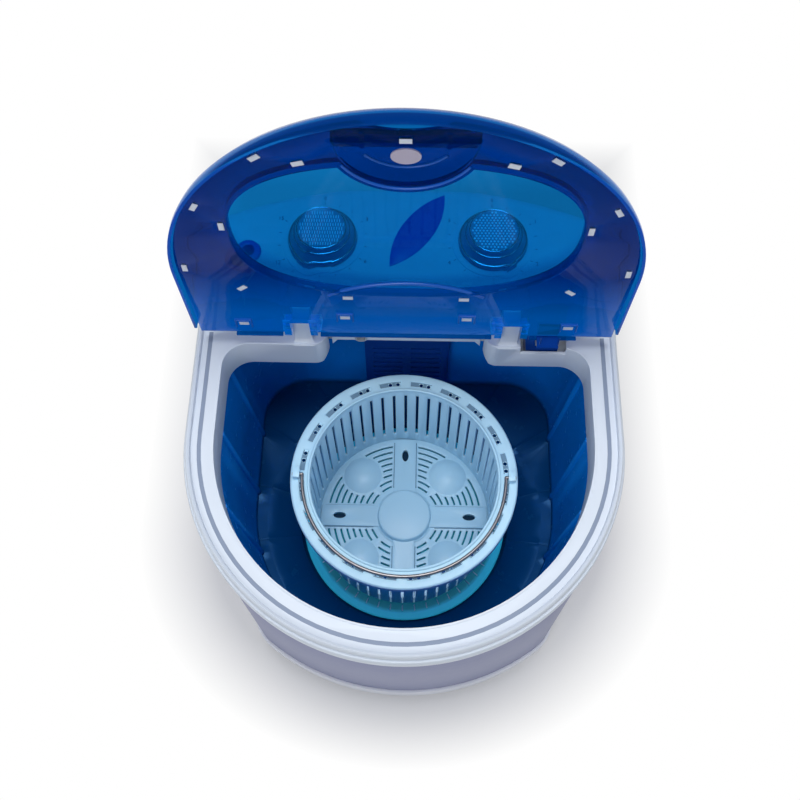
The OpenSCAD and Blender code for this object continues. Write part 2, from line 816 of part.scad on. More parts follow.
module spin_knob() {
    color("deepskyblue") knob(knob_pitch / 2);
}

module inlet_socket() {
    color("lightskyblue") translate([-inlet_at, inlet_y, 0]) difference() {
        union() {
            translate([0, 0, panel_top]) cylinder(h = 3, r1 = inlet_r + 6, r2 = inlet_r + 4.6);
            translate([0, 0, spout_z + 9]) cylinder(h = panel_top - spout_z - 8, r = inlet_r + 2.6);
        }
        translate([0, 0, spout_z]) cylinder(h = 80, r = inlet_r, $fn = 64);
    }
}

// Straight run of pipe between two points at one height
module pipe_run(a, b, r) {
    d = b - a;
    translate(a) rotate([0, 0, atan2(d[1], d[0])]) rotate([0, 90, 0]) cylinder(h = norm(d), r = r, $fn = 48);
}

module inlet_route(r, past) {
    a = [-inlet_at, inlet_y, spout_z];
    b = [spout_x, inlet_y, spout_z];
    c = [spout_x, axis_y + recess_y - 1 - past, spout_z];
    translate(a) cylinder(h = 9 + past, r = r, $fn = 48);
    pipe_run(a, b, r);
    pipe_run(b, c, r);
    translate(a) sphere(r, $fn = 48);
    translate(b) sphere(r, $fn = 48);
}

module inlet_pipe() {
    color("lightgray") difference() {
        inlet_route(spout_bore + spout_t, 0);
        inlet_route(spout_bore, 1);
    }
}

// Wall of the tub with its flange, leaning in towards the floor
module tub_section() {
    polygon([
        [tub_top_r, tub_top], [tub_top_r + flange_w, tub_top], [tub_top_r + flange_w, tub_top - 3],
        [tub_top_r + tub_t, tub_top - 3], [tub_floor_r + tub_t, tub_floor_z - tub_t],
        [tub_floor_r - 6, tub_floor_z - tub_t], [tub_floor_r - 6, tub_floor_z],
        [tub_floor_r - 0.6, tub_floor_z], [tub_floor_r, tub_floor_z + 2]
    ]);
}

module wall_rib() {
    rotate([0, draft_angle, 0]) cylinder(h = tub_wall_h / cos(draft_angle) - 2, r = rib_r, $fn = 24);
    sphere(rib_r, $fn = 24);
}

// Ribs are spaced along the side, then round the front half circle
module wall_ribs() {
    rib_x = tub_floor_r + 0.6;
    step_a = rib_pitch / tub_floor_r * 180 / PI;
    first = rib_pitch * 1.22;
    for (s = [0, 1]) mirror([s, 0, 0]) {
        for (y = [first, first - rib_pitch]) translate([rib_x, y, tub_floor_z + 1.5]) wall_rib();
        for (i = [0:2]) rotate([0, 0, -(2 * rib_pitch - first) / tub_floor_r * 180 / PI - i * step_a])
            translate([rib_x, 0, tub_floor_z + 1.5]) wall_rib();
    }
}

// Low ridge between two facets of the floor, from near its edge to the well
module floor_ridge() {
    start = dish_r - ridge_in;
    fall = atan(dish_d / (dish_r - well_r));
    translate([start, 0, tub_floor_z - ridge_in * tan(fall)]) rotate([0, fall, 180]) rotate([90, 0, 90])
        linear_extrude((start - well_r) / cos(fall) - 0.5) polygon([[-2.6, -0.6], [0, 0.7], [2.6, -0.6]]);
}

// Walls of the tub with their ribs, their flange and the flat edge of the floor
module wash_tub() {
    color("mediumblue") translate([0, axis_y, 0]) {
        difference() {
            union() {
                d_sweep(tub_top_r, tub_rear, tub_corner_r) tub_section();
                translate([0, 0, tub_floor_z - tub_t]) linear_extrude(tub_t)
                    d_outline(tub_floor_r - 2, tub_floor_rear - 2, tub_corner_r - tub_draft - 2);
            }
            translate([0, -spin_forward, tub_floor_z - 2 * tub_t]) cylinder(h = 2 * tub_t, r = dish_r);
        }
        wall_ribs();
    }
}

// Dished middle of the tub's floor with the pulsator's well, the sump and the bosses below
module tub_floor() {
    color("mediumblue") translate([0, axis_y, 0]) difference() {
        union() {
            translate([0, -spin_forward, 0]) {
                rotate_extrude() polygon([
                    [0, well_z], [well_r, well_z], [well_r, well_edge_z], [dish_r, tub_floor_z],
                    [dish_r, tub_floor_z - tub_t], [well_r + tub_t, well_edge_z - tub_t],
                    [well_r + tub_t, well_z - tub_t], [0, well_z - tub_t]
                ]);
                for (i = [0:floor_facets - 1]) rotate([0, 0, (i + 0.5) * 360 / floor_facets]) floor_ridge();
            }
            for (a = leg_angles) rotate([0, 0, a]) translate([leg_at, 0, leg_top])
                cylinder(h = leg_boss_h + 1, r = leg_boss_r);
            translate([-drain_at, sump_y - axis_y, well_z - tub_t - sump_d])
                cylinder(h = sump_d + 1, r = sump_r + 3);
        }
        translate([0, -spin_forward, well_z - 20]) cylinder(h = 40, r = seal_r);
        translate([-drain_at, sump_y - axis_y, well_z - 30]) cylinder(h = 40, r = sump_r);
        for (a = leg_angles) rotate([0, 0, a]) translate([leg_at, 0, leg_top - 1])
            cylinder(h = leg_boss_h, r = bolt_r);
    }
}

module filter_panel() {
    w = 84;
    y1 = axis_y + tub_rear;
    top = tub_top - 14;
    foot = tub_floor_z + 1;
    lean = tub_draft;
    color("midnightblue") difference() {
        translate([-w / 2, 0, 0]) rotate([90, 0, 90]) linear_extrude(w) polygon([
            [y1 - 1.2, top], [y1 - 9, top - 4], [y1 - lean - 10, foot], [y1 - lean - 0.8, foot]
        ]);
        translate([-w / 2 + 3, 0, 0]) rotate([90, 0, 90]) linear_extrude(w - 6) polygon([
            [y1 + 1, top - 6], [y1 - 6, top - 8], [y1 - lean - 7, foot + 3], [y1 - lean + 1, foot + 3]
        ]);
        for (i = [0:8], x = [-1, 1]) translate([x * 19 - 15, y1 - 40, foot + 12 + 9 * i]) cube([30, 60, 3]);
    }
}

module tub_seal() {
    color("black") translate([0, spin_y, well_z - tub_t]) difference() {
        union() {
            cylinder(h = tub_t + 1, r = seal_r);
            translate([0, 0, tub_t]) cylinder(h = 2.4, r1 = seal_r + 3, r2 = seal_r - 1);
        }
        translate([0, 0, -1]) cylinder(h = 20, r = shaft_r + running, $fn = 64);
    }
}

module bearing_housing() {
    z1 = well_z - tub_t;
    color("silver") translate([0, spin_y, 0]) difference() {
        union() {
            translate([0, 0, z1 - 5]) cylinder(h = 5, r = housing_flange_r);
            translate([0, 0, z1 - housing_h]) cylinder(h = housing_h, r = housing_r);
            for (a = [0:60:300]) rotate([0, 0, a]) translate([0, 0, z1 - 5]) rotate([90, 0, 0])
                translate([0, 0, -2]) linear_extrude(4) polygon([
                    [housing_r - 1, 0], [housing_flange_r - 4, 0], [housing_r - 1, -26]
                ]);
        }
        for (z = [z1 - bearing_w, z1 - housing_h - 1])
            translate([0, 0, z]) cylinder(h = bearing_w + 1, r = bearing_r, $fn = 64);
        translate([0, 0, z1 - housing_h - 1]) cylinder(h = housing_h + 2, r = shaft_r + 2);
    }
}

module bearings() {
    z1 = well_z - tub_t;
    places = [z1 - bearing_w, z1 - housing_h];
    color("lightsteelblue") for (z = places) translate([0, spin_y, z]) difference() {
        cylinder(h = bearing_w, r = bearing_r, $fn = 64);
        translate([0, 0, -1]) cylinder(h = bearing_w + 2, r = shaft_r + running, $fn = 64);
        for (f = [-0.01, bearing_w - 0.5]) translate([0, 0, f]) difference() {
            cylinder(h = 0.51, r = bearing_r - 2);
            translate([0, 0, -1]) cylinder(h = 3, r = shaft_r + 2);
        }
    }
}

// Steel plate under the belt, hung from the tub's bosses on four legs
module drive_frame() {
    legs_x = leg_at * cos(leg_angles[0]);
    legs_y = leg_at * sin(leg_angles[0]);
    color("gray") difference() {
        union() {
            translate([0, 0, plate_z]) linear_extrude(plate_t) {
                translate([-legs_x - 12, axis_y - legs_y - 12]) square([2 * legs_x + 24, 2 * legs_y + 24]);
                translate([0, motor_y]) circle(motor_r + 6);
            }
            for (a = leg_angles) translate([0, axis_y, plate_z]) rotate([0, 0, a]) translate([leg_at, 0, 0])
                cylinder(h = leg_top - plate_z, r = leg_r);
        }
        translate([0, spin_y, plate_z - 1]) cylinder(h = plate_t + 2, r = 24);
        translate([0, motor_y, plate_z - 1]) cylinder(h = plate_t + 2, r = 16);
        for (a = leg_angles) translate([0, axis_y, leg_top - 12]) rotate([0, 0, a]) translate([leg_at, 0, 0])
            cylinder(h = 14, r = bolt_r);
        for (a = [45:90:315]) translate([0, motor_y, plate_z - 1]) rotate([0, 0, a])
            translate([motor_r - 6, 0, 0]) cylinder(h = plate_t + 2, r = 3);
    }
}

module frame_bolts() {
    color("silver") for (a = leg_angles) translate([0, axis_y, leg_top - 11.5]) rotate([0, 0, a])
        translate([leg_at, 0, 0]) cylinder(h = 11.5 + leg_boss_h - 1.2, r = bolt_r);
}

module motor() {
    color("slategray") translate([0, motor_y, 0]) difference() {
        union() {
            translate([0, 0, motor_bottom]) cylinder(h = motor_h, r = motor_r - 3);
            for (z = [motor_top - 18, motor_bottom])
                translate([0, 0, z]) cylinder(h = 18, r = motor_r);
            translate([0, 0, motor_top - 1]) cylinder(h = 5, r = 13);
            for (a = [0:15:345]) rotate([0, 0, a]) translate([motor_r - 4, -1, motor_bottom + 10])
                cube([3, 2, motor_h - 20]);
        }
        translate([0, 0, motor_bottom + 8]) cylinder(h = motor_h, r = shaft_r - 1 + running, $fn = 48);
        for (a = [45:90:315]) rotate([0, 0, a]) translate([motor_r - 6, 0, motor_top - 8])
            cylinder(h = 10, r = 3);
    }
}

module motor_mounts() {
    color("black") for (a = [45:90:315]) translate([0, motor_y, 0]) rotate([0, 0, a])
        translate([motor_r - 6, 0, motor_top - 7.8]) {
            cylinder(h = plate_z + plate_t - motor_top + 7.8, r = 3);
            translate([0, 0, 7.8]) cylinder(h = plate_z - motor_top, r = 6);
            translate([0, 0, plate_z + plate_t - motor_top + 7.8]) cylinder(h = 1.6, r = 5);
        }
}

module motor_shaft() {
    color("silver") translate([0, motor_y, motor_bottom + 8.5])
        cylinder(h = belt_z + pulley_w / 2 - 4.5 - motor_bottom, r = shaft_r - 1, $fn = 48);
}

// Grooved pulley whose belt runs at pitch radius r
module belt_pulley(r, bore, spokes) {
    h = pulley_w / 2;
    difference() {
        rotate_extrude() polygon([
            [bore, -h], [r + 3, -h], [r + 3, -belt_w / 2 - 0.6], [r - belt_t / 2 - 0.2, -belt_w / 2 + 1.2],
            [r - belt_t / 2 - 0.2, belt_w / 2 - 1.2], [r + 3, belt_w / 2 + 0.6], [r + 3, h], [bore, h]
        ]);
        if (spokes > 0) for (i = [0:spokes - 1]) rotate([0, 0, i * 360 / spokes])
            translate([(r + bore) / 2 + 2, 0, -h - 1]) cylinder(h = pulley_w + 2, r = r * 0.2);
    }
}

module motor_pulley() {
    color("gray") translate([0, motor_y, belt_z]) belt_pulley(motor_pulley_r, shaft_r - 1, 0);
}

module drive_pulley() {
    color("gray") translate([0, spin_y, belt_z]) belt_pulley(pulley_r, shaft_r, 6);
}

// Flat outline of the belt's loop at distance g from its middle
module belt_loop(g) {
    lean = asin((pulley_r - motor_pulley_r) / motor_back);
    big = pulley_r + g;
    small = motor_pulley_r + g;
    translate([0, spin_y]) circle(big);
    translate([0, motor_y]) circle(small);
    polygon([
        [big * cos(lean), spin_y + big * sin(lean)], [small * cos(lean), motor_y + small * sin(lean)],
        [-small * cos(lean), motor_y + small * sin(lean)], [-big * cos(lean), spin_y + big * sin(lean)]
    ]);
}

module drive_belt() {
    color("black") translate([0, 0, belt_z - belt_w / 2 + 1.4]) linear_extrude(belt_w - 2.8) difference() {
        belt_loop(belt_t / 2);
        belt_loop(-belt_t / 2 + 0.15);
    }
}

module capacitor() {
    color("lightgray") translate([capacitor_x, capacitor_y, plate_z - 2]) {
        translate([0, 0, -capacitor_h]) cylinder(h = capacitor_h, r = capacitor_r);
        cylinder(h = 2, r = capacitor_r - 3);
        for (s = [-1, 1]) translate([s * 6, -3, -capacitor_h - 6]) cube([1, 6, 7]);
    }
}

// The drain runs down from the tub, under the motor and out through the cabinet's back
module drain_pipe() {
    low = [-drain_at, sump_y, drain_z];
    drop = well_z - tub_t - sump_d - drain_z;
    run = drain_out_y - sump_y;
    color("lightgray") difference() {
        union() {
            translate(low) cylinder(h = drop, r = drain_r + drain_step, $fn = 64);
            translate(low + [0, 0, drop - 2]) cylinder(h = 2, r = sump_r + 3);
            translate(low) sphere(drain_r + drain_step, $fn = 64);
            translate(low) rotate([-90, 0, 0]) cylinder(h = run, r = drain_r + drain_step, $fn = 64);
            translate(low) rotate([-90, 0, 0]) cylinder(h = rear_y - 0.5 - sump_y, r = drain_r, $fn = 64);
        }
        translate(low) cylinder(h = drop + 1, r = drain_r - drain_t, $fn = 64);
        translate(low) sphere(drain_r - drain_t, $fn = 64);
        translate(low) rotate([-90, 0, 0]) cylinder(h = run + 60, r = drain_r - drain_t, $fn = 64);
    }
}

module cord_gland() {
    color("dimgray") translate([gland_at, back_at(gland_at), drain_z]) rotate([-90, 0, 0]) difference() {
        union() {
            translate([0, 0, -gland_in]) cylinder(h = gland_l, r = gland_r - 0.3);
            translate([0, 0, 4.5]) cylinder(h = 4, r = gland_r + 3);
            translate([0, 0, -gland_in]) cylinder(h = 5, r = gland_r + 3);
        }
        translate([0, 0, -gland_in - 1]) cylinder(h = gland_l + 2, r = gland_bore);
    }
}

module lid_switch() {
    color("dimgray") translate([switch_at, pin_y, 0]) difference() {
        translate([-14, -9, wall_foot_z + wall]) cube([28, 18, 18]);
        translate([-5 - gap, -4 - gap, seat_z - 28]) cube([10 + 2 * gap, 8 + 2 * gap, 30]);
    }
}

module switch_plunger() {
    tip = pin_z - tongue_l - 0.4;
    color("white") translate([switch_at - 5, pin_y - 4, seat_z - 24]) cube([10, 8, tip - seat_z + 24]);
}

module hinge_pins() {
    l = post_w + 2 * lug_w + 3;
    color("silver") for (s = [-1, 1]) translate([s * post_at - l / 2, pin_y, pin_z]) rotate([0, 90, 0])
        cylinder(h = l, r = pin_r, $fn = 48);
}

// Children drawn for the closed lid about its hinge axis, turned to the open place
module open_lid() {
    translate([0, pin_y, pin_z]) rotate([-90, 0, 0]) children();
}

// Section of the lid's domed cover, from the middle to the skirt
function dome_z(r) = lid_crown_z - 9 * (r / lid_r) * (r / lid_r);

module cover_section() {
    edge = lid_r - 12;
    polygon(concat(
        [for (i = [0:6]) [edge * i / 6, dome_z(edge * i / 6)]],
        [[lid_r - 5, lid_edge_z - 2.4], [lid_r - 1.4, lid_edge_z - 8]],
        [[lid_r, lid_skirt_z + 4], [lid_r, lid_skirt_z]],
        [[lid_r - cover_t, lid_skirt_z], [lid_r - cover_t, lid_skirt_z + 4],
         [lid_r - cover_t - 1.4, lid_edge_z - 8.6], [lid_r - cover_t - 4.4, lid_edge_z - 4]],
        [for (i = [6:-1:0]) [edge * i / 6, dome_z(edge * i / 6) - cover_t]]
    ));
}

// Space that the hinge posts and the lugs take in the lid's rear edge
module post_clearance() {
    lugs_w = post_w + 2 * lug_w + 4 * gap + 3;
    for (s = [-1, 1]) translate([s * post_at, 0, 0]) {
        translate([-post_clear_w / 2, 0, 0]) rotate([0, 90, 0]) cylinder(h = post_clear_w, r = post_clear_r);
        translate([-lugs_w / 2, -lug_r - gap, -post_clear_h])
            cube([lugs_w, 2 * (lug_r + gap), 2 * post_clear_h]);
        translate([-lugs_w / 2, -post_clear_r, -post_clear_h])
            cube([lugs_w, 2 * post_clear_r, post_clear_h]);
    }
}

module cover_moulding() {
    straight = -lid_arc_y + lid_back;
    translate([0, lid_arc_y, 0]) {
        rotate([0, 0, 180]) rotate_extrude(angle = 180) cover_section();
        for (s = [0, 1]) mirror([s, 0, 0]) translate([0, straight, 0]) rotate([90, 0, 0])
            linear_extrude(straight) cover_section();
    }
    intersection() {
        translate([-lid_r, lid_back - cover_t, -pin_up - 1]) cube([2 * lid_r, cover_t, 60]);
        translate([0, lid_back, 0]) rotate([90, 0, 0]) linear_extrude(cover_t + 1) polygon(concat(
            [for (i = [-6:6]) [(lid_r - 12) * i / 6, dome_z((lid_r - 12) * i / 6) - 0.5]],
            [[lid_r - 2, lid_edge_z - 5], [lid_r - 2, -pin_up - 1], [-lid_r + 2, -pin_up - 1],
             [-lid_r + 2, lid_edge_z - 5]]
        ));
    }
}

module lid_cover() {
    color("blue", 0.7) open_lid() difference() {
        cover_moulding();
        post_clearance();
        for (s = [-1, 1]) translate([s * front_r - 40, -17, -60]) cube([80, 40, 60 + lid_skirt_z + 8.5]);
    }
}

// Superellipse used for the wide window in the lid's inner frame
function super_point(a, b, n, t) = [
    a * sign(cos(t)) * pow(abs(cos(t)), 2 / n),
    b * sign(sin(t)) * pow(abs(sin(t)), 2 / n)
];

module window_outline(g = 0) {
    difference() {
        translate([0, window_y])
            polygon([for (t = [2:4:358]) super_point(window_a + g, window_b + g, 2.5, t)]);
        translate([0, grip_y]) circle(grip_r + 6 - g);
    }
}

// The inner frame seen from above, with a scallop in the middle of its front edge
module inner_outline() {
    translate([0, lid_arc_y]) {
        difference() {
            intersection() {
                circle(inner_r);
                translate([-inner_r, -inner_r]) square([2 * inner_r, inner_r]);
            }
            translate([0, scallop_d - inner_r - scallop_r]) circle(scallop_r);
        }
        translate([-inner_r, 0]) square([2 * inner_r, -lid_arc_y - 6]);
    }
}

// Half disc of the finger grip, grown by g
module grip_outline(g) {
    intersection() {
        translate([0, grip_y]) circle(grip_r + g);
        translate([-grip_r - g, grip_line_y - g]) square([2 * (grip_r + g), 2 * grip_r]);
    }
}

// Places of the slots in the inner frame, as x, y and turn
slot_places = [
    for (a = [-88, -60, -35, 35, 60, 88]) [(inner_r - 6) * sin(a), lid_arc_y - (inner_r - 6) * cos(a), a],
    [0, grip_line_y - 6, 0],
    for (s = [-1, 1]) [s * (window_a + 5), window_y - 9, 90],
    for (s = [-1, 1]) [s * 69, window_y - window_b, s * 16],
    for (s = [-1, 1]) [s * 128, window_y + 74, s * 40],
    for (s = [-1, 1]) [s * 46, window_y + window_b + 7, 0],
    for (s = [-1, 1]) [s * 135, -20, 0],
    for (s = [-1, 1]) [s * 50, -32, 0]
];

module lid_frame() {
    color("darkblue", 0.8) open_lid() difference() {
        union() {
            translate([0, 0, inner_z]) linear_extrude(inner_t) difference() {
                inner_outline();
                window_outline(0);
                grip_outline(0);
            }
            translate([0, 0, inner_z]) linear_extrude(grip_cup_d + inner_t) difference() {
                grip_outline(2.2);
                grip_outline(0);
            }
            translate([0, 0, inner_z + grip_cup_d]) linear_extrude(inner_t) grip_outline(1);
            for (x = [-1, 1]) translate([x * 27 - 1.5, grip_line_y - 14, inner_z - 1.2])
                cube([3, 14, inner_t + 1]);
            translate([0, 0, inner_z - 1.2]) linear_extrude(inner_t + 5) difference() {
                window_outline(2.2);
                window_outline(0);
            }
            for (s = [-1, 1], t = [-1, 1])
                translate([s * post_at + t * (post_w / 2 + lug_w / 2 + gap) - lug_w / 2, 0, 0])
                    rotate([90, 0, 90]) linear_extrude(lug_w) {
                        circle(lug_r);
                        translate([-post_clear_r - 4, inner_z]) square([post_clear_r + 4, inner_t]);
                        polygon([
                            [0, -lug_r], [0, lug_r - 3],
                            [-post_clear_r - 3, inner_z + inner_t], [-7, inner_z]
                        ]);
                    }
        }
        for (s = [-1, 1]) translate([s * post_at - post_w / 2 - gap, -post_clear_r, -post_clear_h])
            cube([post_w + 2 * gap, 2 * post_clear_r, 2 * post_clear_h]);
        for (s = [-1, 1]) translate([s * post_at - 25, 0, 0]) rotate([0, 90, 0])
            cylinder(h = 50, r = pin_r + running, $fn = 48);
        for (p = slot_places) translate([p[0], p[1], inner_z - 3]) rotate([0, 0, p[2]])
            translate([-lid_clip_l / 2, -lid_clip_w / 2, 0]) cube([lid_clip_l, lid_clip_w, 20]);
    }
}

module lid_clips() {
    color("white") open_lid() for (p = slot_places) translate([p[0], p[1], inner_z - 0.4])
        rotate([0, 0, p[2]]) translate([-lid_clip_l / 2, -lid_clip_w / 2, 0]) cube(lid_clip_size);
}

module lid_tongue() {
    color("navy") open_lid() {
        translate([switch_at - tongue_w / 2, -tongue_t, -tongue_l]) cube([tongue_w, tongue_t, tongue_l]);
        translate([switch_at - tongue_w / 2, -24, inner_z + inner_t]) cube([tongue_w, 24, 2]);
    }
}

module grip_pad() {
    color("thistle") open_lid() translate([0, grip_y + 26, inner_z + grip_cup_d - 1]) linear_extrude(1)
        polygon([for (t = [0:10:350]) [10 * cos(t), 7.5 * sin(t)]]);
}

// Splined outline of the hub that turns the basket, grown by g
module hub_outline(g) {
    circle(drive_hub_r + g);
    for (i = [0:spline_count - 1]) rotate([0, 0, (i + 0.5) * 360 / spline_count])
        translate([drive_hub_r, 0]) circle(spline_r + g, $fn = 24);
}

module pulsator() {
    color("deepskyblue") translate([0, spin_y, 0]) difference() {
        union() {
            rotate_extrude() polygon([
                [0, pulsator_top], [basket_out_r - 2, pulsator_top], [basket_out_r + 4, pulsator_top - 0.6],
                [pulsator_r - 1, pulsator_edge + 1], [pulsator_r, pulsator_edge],
                [pulsator_r - 1, pulsator_edge - pulsator_t + 0.6],
                [basket_out_r + 4, pulsator_top - pulsator_t - 0.6], [0, pulsator_top - pulsator_t]
            ]);
            for (i = [0:vane_count - 1]) rotate([0, 0, i * 360 / vane_count]) vane();
            translate([0, 0, pulsator_top - 6])
                linear_extrude(drive_hub_z - pulsator_top + 6) hub_outline(0);
        }
        translate([0, 0, pulsator_top - 8]) cylinder(h = 60, r = shaft_r, $fn = 64);
    }
}

// Vane from the hub outwards, with a rounded end
module vane() {
    h = basket_floor_z - 0.4 - pulsator_top;
    translate([drive_hub_r - 1, -3, pulsator_top - 1]) cube([vane_end - drive_hub_r + 1, 6, h + 1]);
    translate([vane_end, 0, pulsator_top - 1]) cylinder(h = h + 1, r = 3, $fn = 32);
}

module pulsator_cap() {
    color("white") translate([0, spin_y, drive_hub_z]) {
        cylinder(h = cap_h, r = drive_hub_r - 1);
        translate([0, 0, -6]) cylinder(h = 6.5, r = shaft_r, $fn = 64);
    }
}

module spin_shaft() {
    z0 = belt_z - pulley_w / 2 - 8;
    color("silver") translate([0, spin_y, z0]) cylinder(h = drive_hub_z - 6 - z0, r = shaft_r, $fn = 64);
}

module pulley_nut() {
    color("silver") translate([0, spin_y, belt_z - pulley_w / 2 - 7]) difference() {
        cylinder(h = 7, r = 11, $fn = 6);
        translate([0, 0, -1]) cylinder(h = 9, r = shaft_r, $fn = 64);
    }
}

module basket_wall() {
    color("lightblue") translate([0, spin_y, 0]) difference() {
        translate([0, 0, basket_floor_z]) cylinder(h = basket_h - rim_t, r = basket_out_r);
        translate([0, 0, basket_floor_z - 1]) cylinder(h = basket_h + 2, r = basket_bore_r);
        for (i = [0:slot_count - 1]) rotate([0, 0, i * 360 / slot_count])
            translate([basket_bore_r - 4, -slot_w / 2, slot_bottom])
                cube([12, slot_w, slot_top - slot_bottom]);
    }
}

// Arc-shaped slot at radius r, between two angles
module arc_slot(r, a0, a1, z, h) {
    if (a1 - a0 > 3) rotate([0, 0, a0]) translate([0, 0, z]) rotate_extrude(angle = a1 - a0)
        translate([r - arc_w / 2, 0]) square([arc_w, h]);
}

module basket_floor() {
    top = basket_floor_z + floor_t;
    color("lightblue") translate([0, spin_y, 0]) difference() {
        union() {
            translate([0, 0, basket_floor_z]) cylinder(h = floor_t, r = basket_bore_r);
            translate([0, 0, top]) intersection() {
                cylinder(h = 2.2, r = basket_bore_r - 1.5);
                for (a = [0, 90]) rotate([0, 0, a]) translate([-basket_r, -spoke_w / 2, 0])
                    cube([2 * basket_r, spoke_w, 2.2]);
            }
            translate([0, 0, top]) rotate_extrude() polygon([
                [0, -0.5], [hub_r + 2.4, -0.5], [hub_r + 2.4, 0.4], [hub_r + 0.6, 1.2], [hub_r, 2.8],
                [hub_r - 0.3, hub_h - 1.8], [hub_r - 1.2, hub_h - 0.5], [hub_r - 3, hub_h], [0, hub_h]
            ]);
            for (a = [45:90:315]) rotate([0, 0, a]) translate([dome_at, 0, top - 1]) intersection() {
                translate([0, 0, 1 - sqrt(dome_ball_r * dome_ball_r - dome_r * dome_r)]) sphere(dome_ball_r);
                cylinder(h = 10, r = dome_r + 0.6);
            }
        }
        translate([0, 0, basket_floor_z - 1]) linear_extrude(socket_h + 1) hub_outline(gap);
        for (q = [0:90:270]) rotate([0, 0, q]) {
            translate([66, 0, basket_floor_z - 1]) linear_extrude(20)
                polygon([for (t = [0:15:345]) [6.5 * cos(t), 3.4 * sin(t)]]);
            for (i = [0:arc_count - 1]) {
                r = arc_first + i * arc_pitch;
                edge = asin((spoke_w / 2 + 2.5) / r);
                far = (dome_r + 2.2) * (dome_r + 2.2);
                c = (r * r + dome_at * dome_at - far) / (2 * r * dome_at);
                stop = c >= 1 ? 45 : 45 - acos(c);
                arc_slot(r, edge, min(stop, 45 - arc_end_a), basket_floor_z - 1, 20);
                arc_slot(r, max(90 - stop, 45 + arc_end_a), 90 - edge, basket_floor_z - 1, 20);
            }
        }
    }
}

module basket_rim() {
    z = basket_rim_z;
    color("aliceblue") translate([0, spin_y, 0]) difference() {
        rotate_extrude() polygon([
            [basket_bore_r, z - rim_t], [basket_bore_r, z + 1.4], [basket_bore_r + 1, z + 2],
            [basket_bore_r + 2.2, z + 1.4], [basket_bore_r + 2.6, z], [basket_r - 1.2, z],
            [basket_r, z - 1.2], [basket_r, z - rim_lip],
            [basket_r - 2, z - rim_lip], [basket_r - 2, z - rim_t]
        ]);
        for (i = [0:pocket_count - 1]) rotate([0, 0, (i + 0.5) * 360 / pocket_count]) {
            rotate([0, 0, -pocket_a / 2]) translate([0, 0, z - 1.2]) rotate_extrude(angle = pocket_a)
                translate([pocket_at - pocket_w / 2, 0]) square([pocket_w, 4]);
            for (a = [-pocket_a / 3, 0]) rotate([0, 0, a]) translate([pocket_at, 0, z - 5])
                cylinder(h = 10, r = 1.7, $fn = 24);
        }
    }
}

module bail_clips() {
    color("white") translate([0, spin_y, 0]) for (s = [0, 1]) mirror([s, 0, 0]) difference() {
        translate([clip_at, -4.5, basket_rim_z]) cube([clip_w, 9, 7]);
        translate([clip_at - 1, 0, bail_z]) rotate([0, 90, 0])
            cylinder(h = clip_w + 2, r = bail_wire_r + running, $fn = 32);
    }
}

module bail_handle() {
    color("darkgray") translate([0, spin_y, bail_z]) {
        rotate([0, 0, 180]) rotate_extrude(angle = 180) translate([bail_r, 0]) circle(bail_wire_r, $fn = 24);
        for (s = [-1, 1]) translate([s * bail_r, 0, 0]) {
            sphere(bail_wire_r, $fn = 24);
            rotate([0, s * 90, 0]) cylinder(h = clip_at + clip_w - bail_r + 1, r = bail_wire_r, $fn = 32);
        }
    }
}

rubber_feet();
base_tray();
cabinet();
side_grips();
service_cover();
cover_screws();
top_frame();
console_housing();
control_panel();
leaf_inlay();
wash_dial();
spin_dial();
wash_timer();
spin_timer();
wash_timer_shaft();
spin_timer_shaft();
wash_knob();
spin_knob();
inlet_socket();
inlet_pipe();
wash_tub();
tub_floor();
filter_panel();
tub_seal();
bearing_housing();
bearings();
drive_frame();
frame_bolts();
motor();
motor_mounts();
motor_shaft();
motor_pulley();
drive_belt();
capacitor();
drain_pipe();
cord_gland();
lid_switch();
switch_plunger();
hinge_pins();
lid_cover();
lid_frame();
lid_clips();
lid_tongue();
grip_pad();
pulsator();
pulsator_cap();
spin_shaft();
drive_pulley();
pulley_nut();
basket_wall();
basket_floor();
basket_rim();
bail_clips();
bail_handle();
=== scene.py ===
"""Looks of a small top-loading washing machine with a lift-out spin basket.

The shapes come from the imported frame. Each visible moulding is a merged and softened copy of its
solid, and the finer things, such as the printed scales and the textured knob tops, are modelled here.
Lengths are in metres: X runs across, Y from the front to the back and Z up.
"""

import json
import logging
import math
from collections.abc import Iterable, Sequence
from dataclasses import dataclass, field
from enum import Enum

import bpy
from mathutils import Matrix, Vector

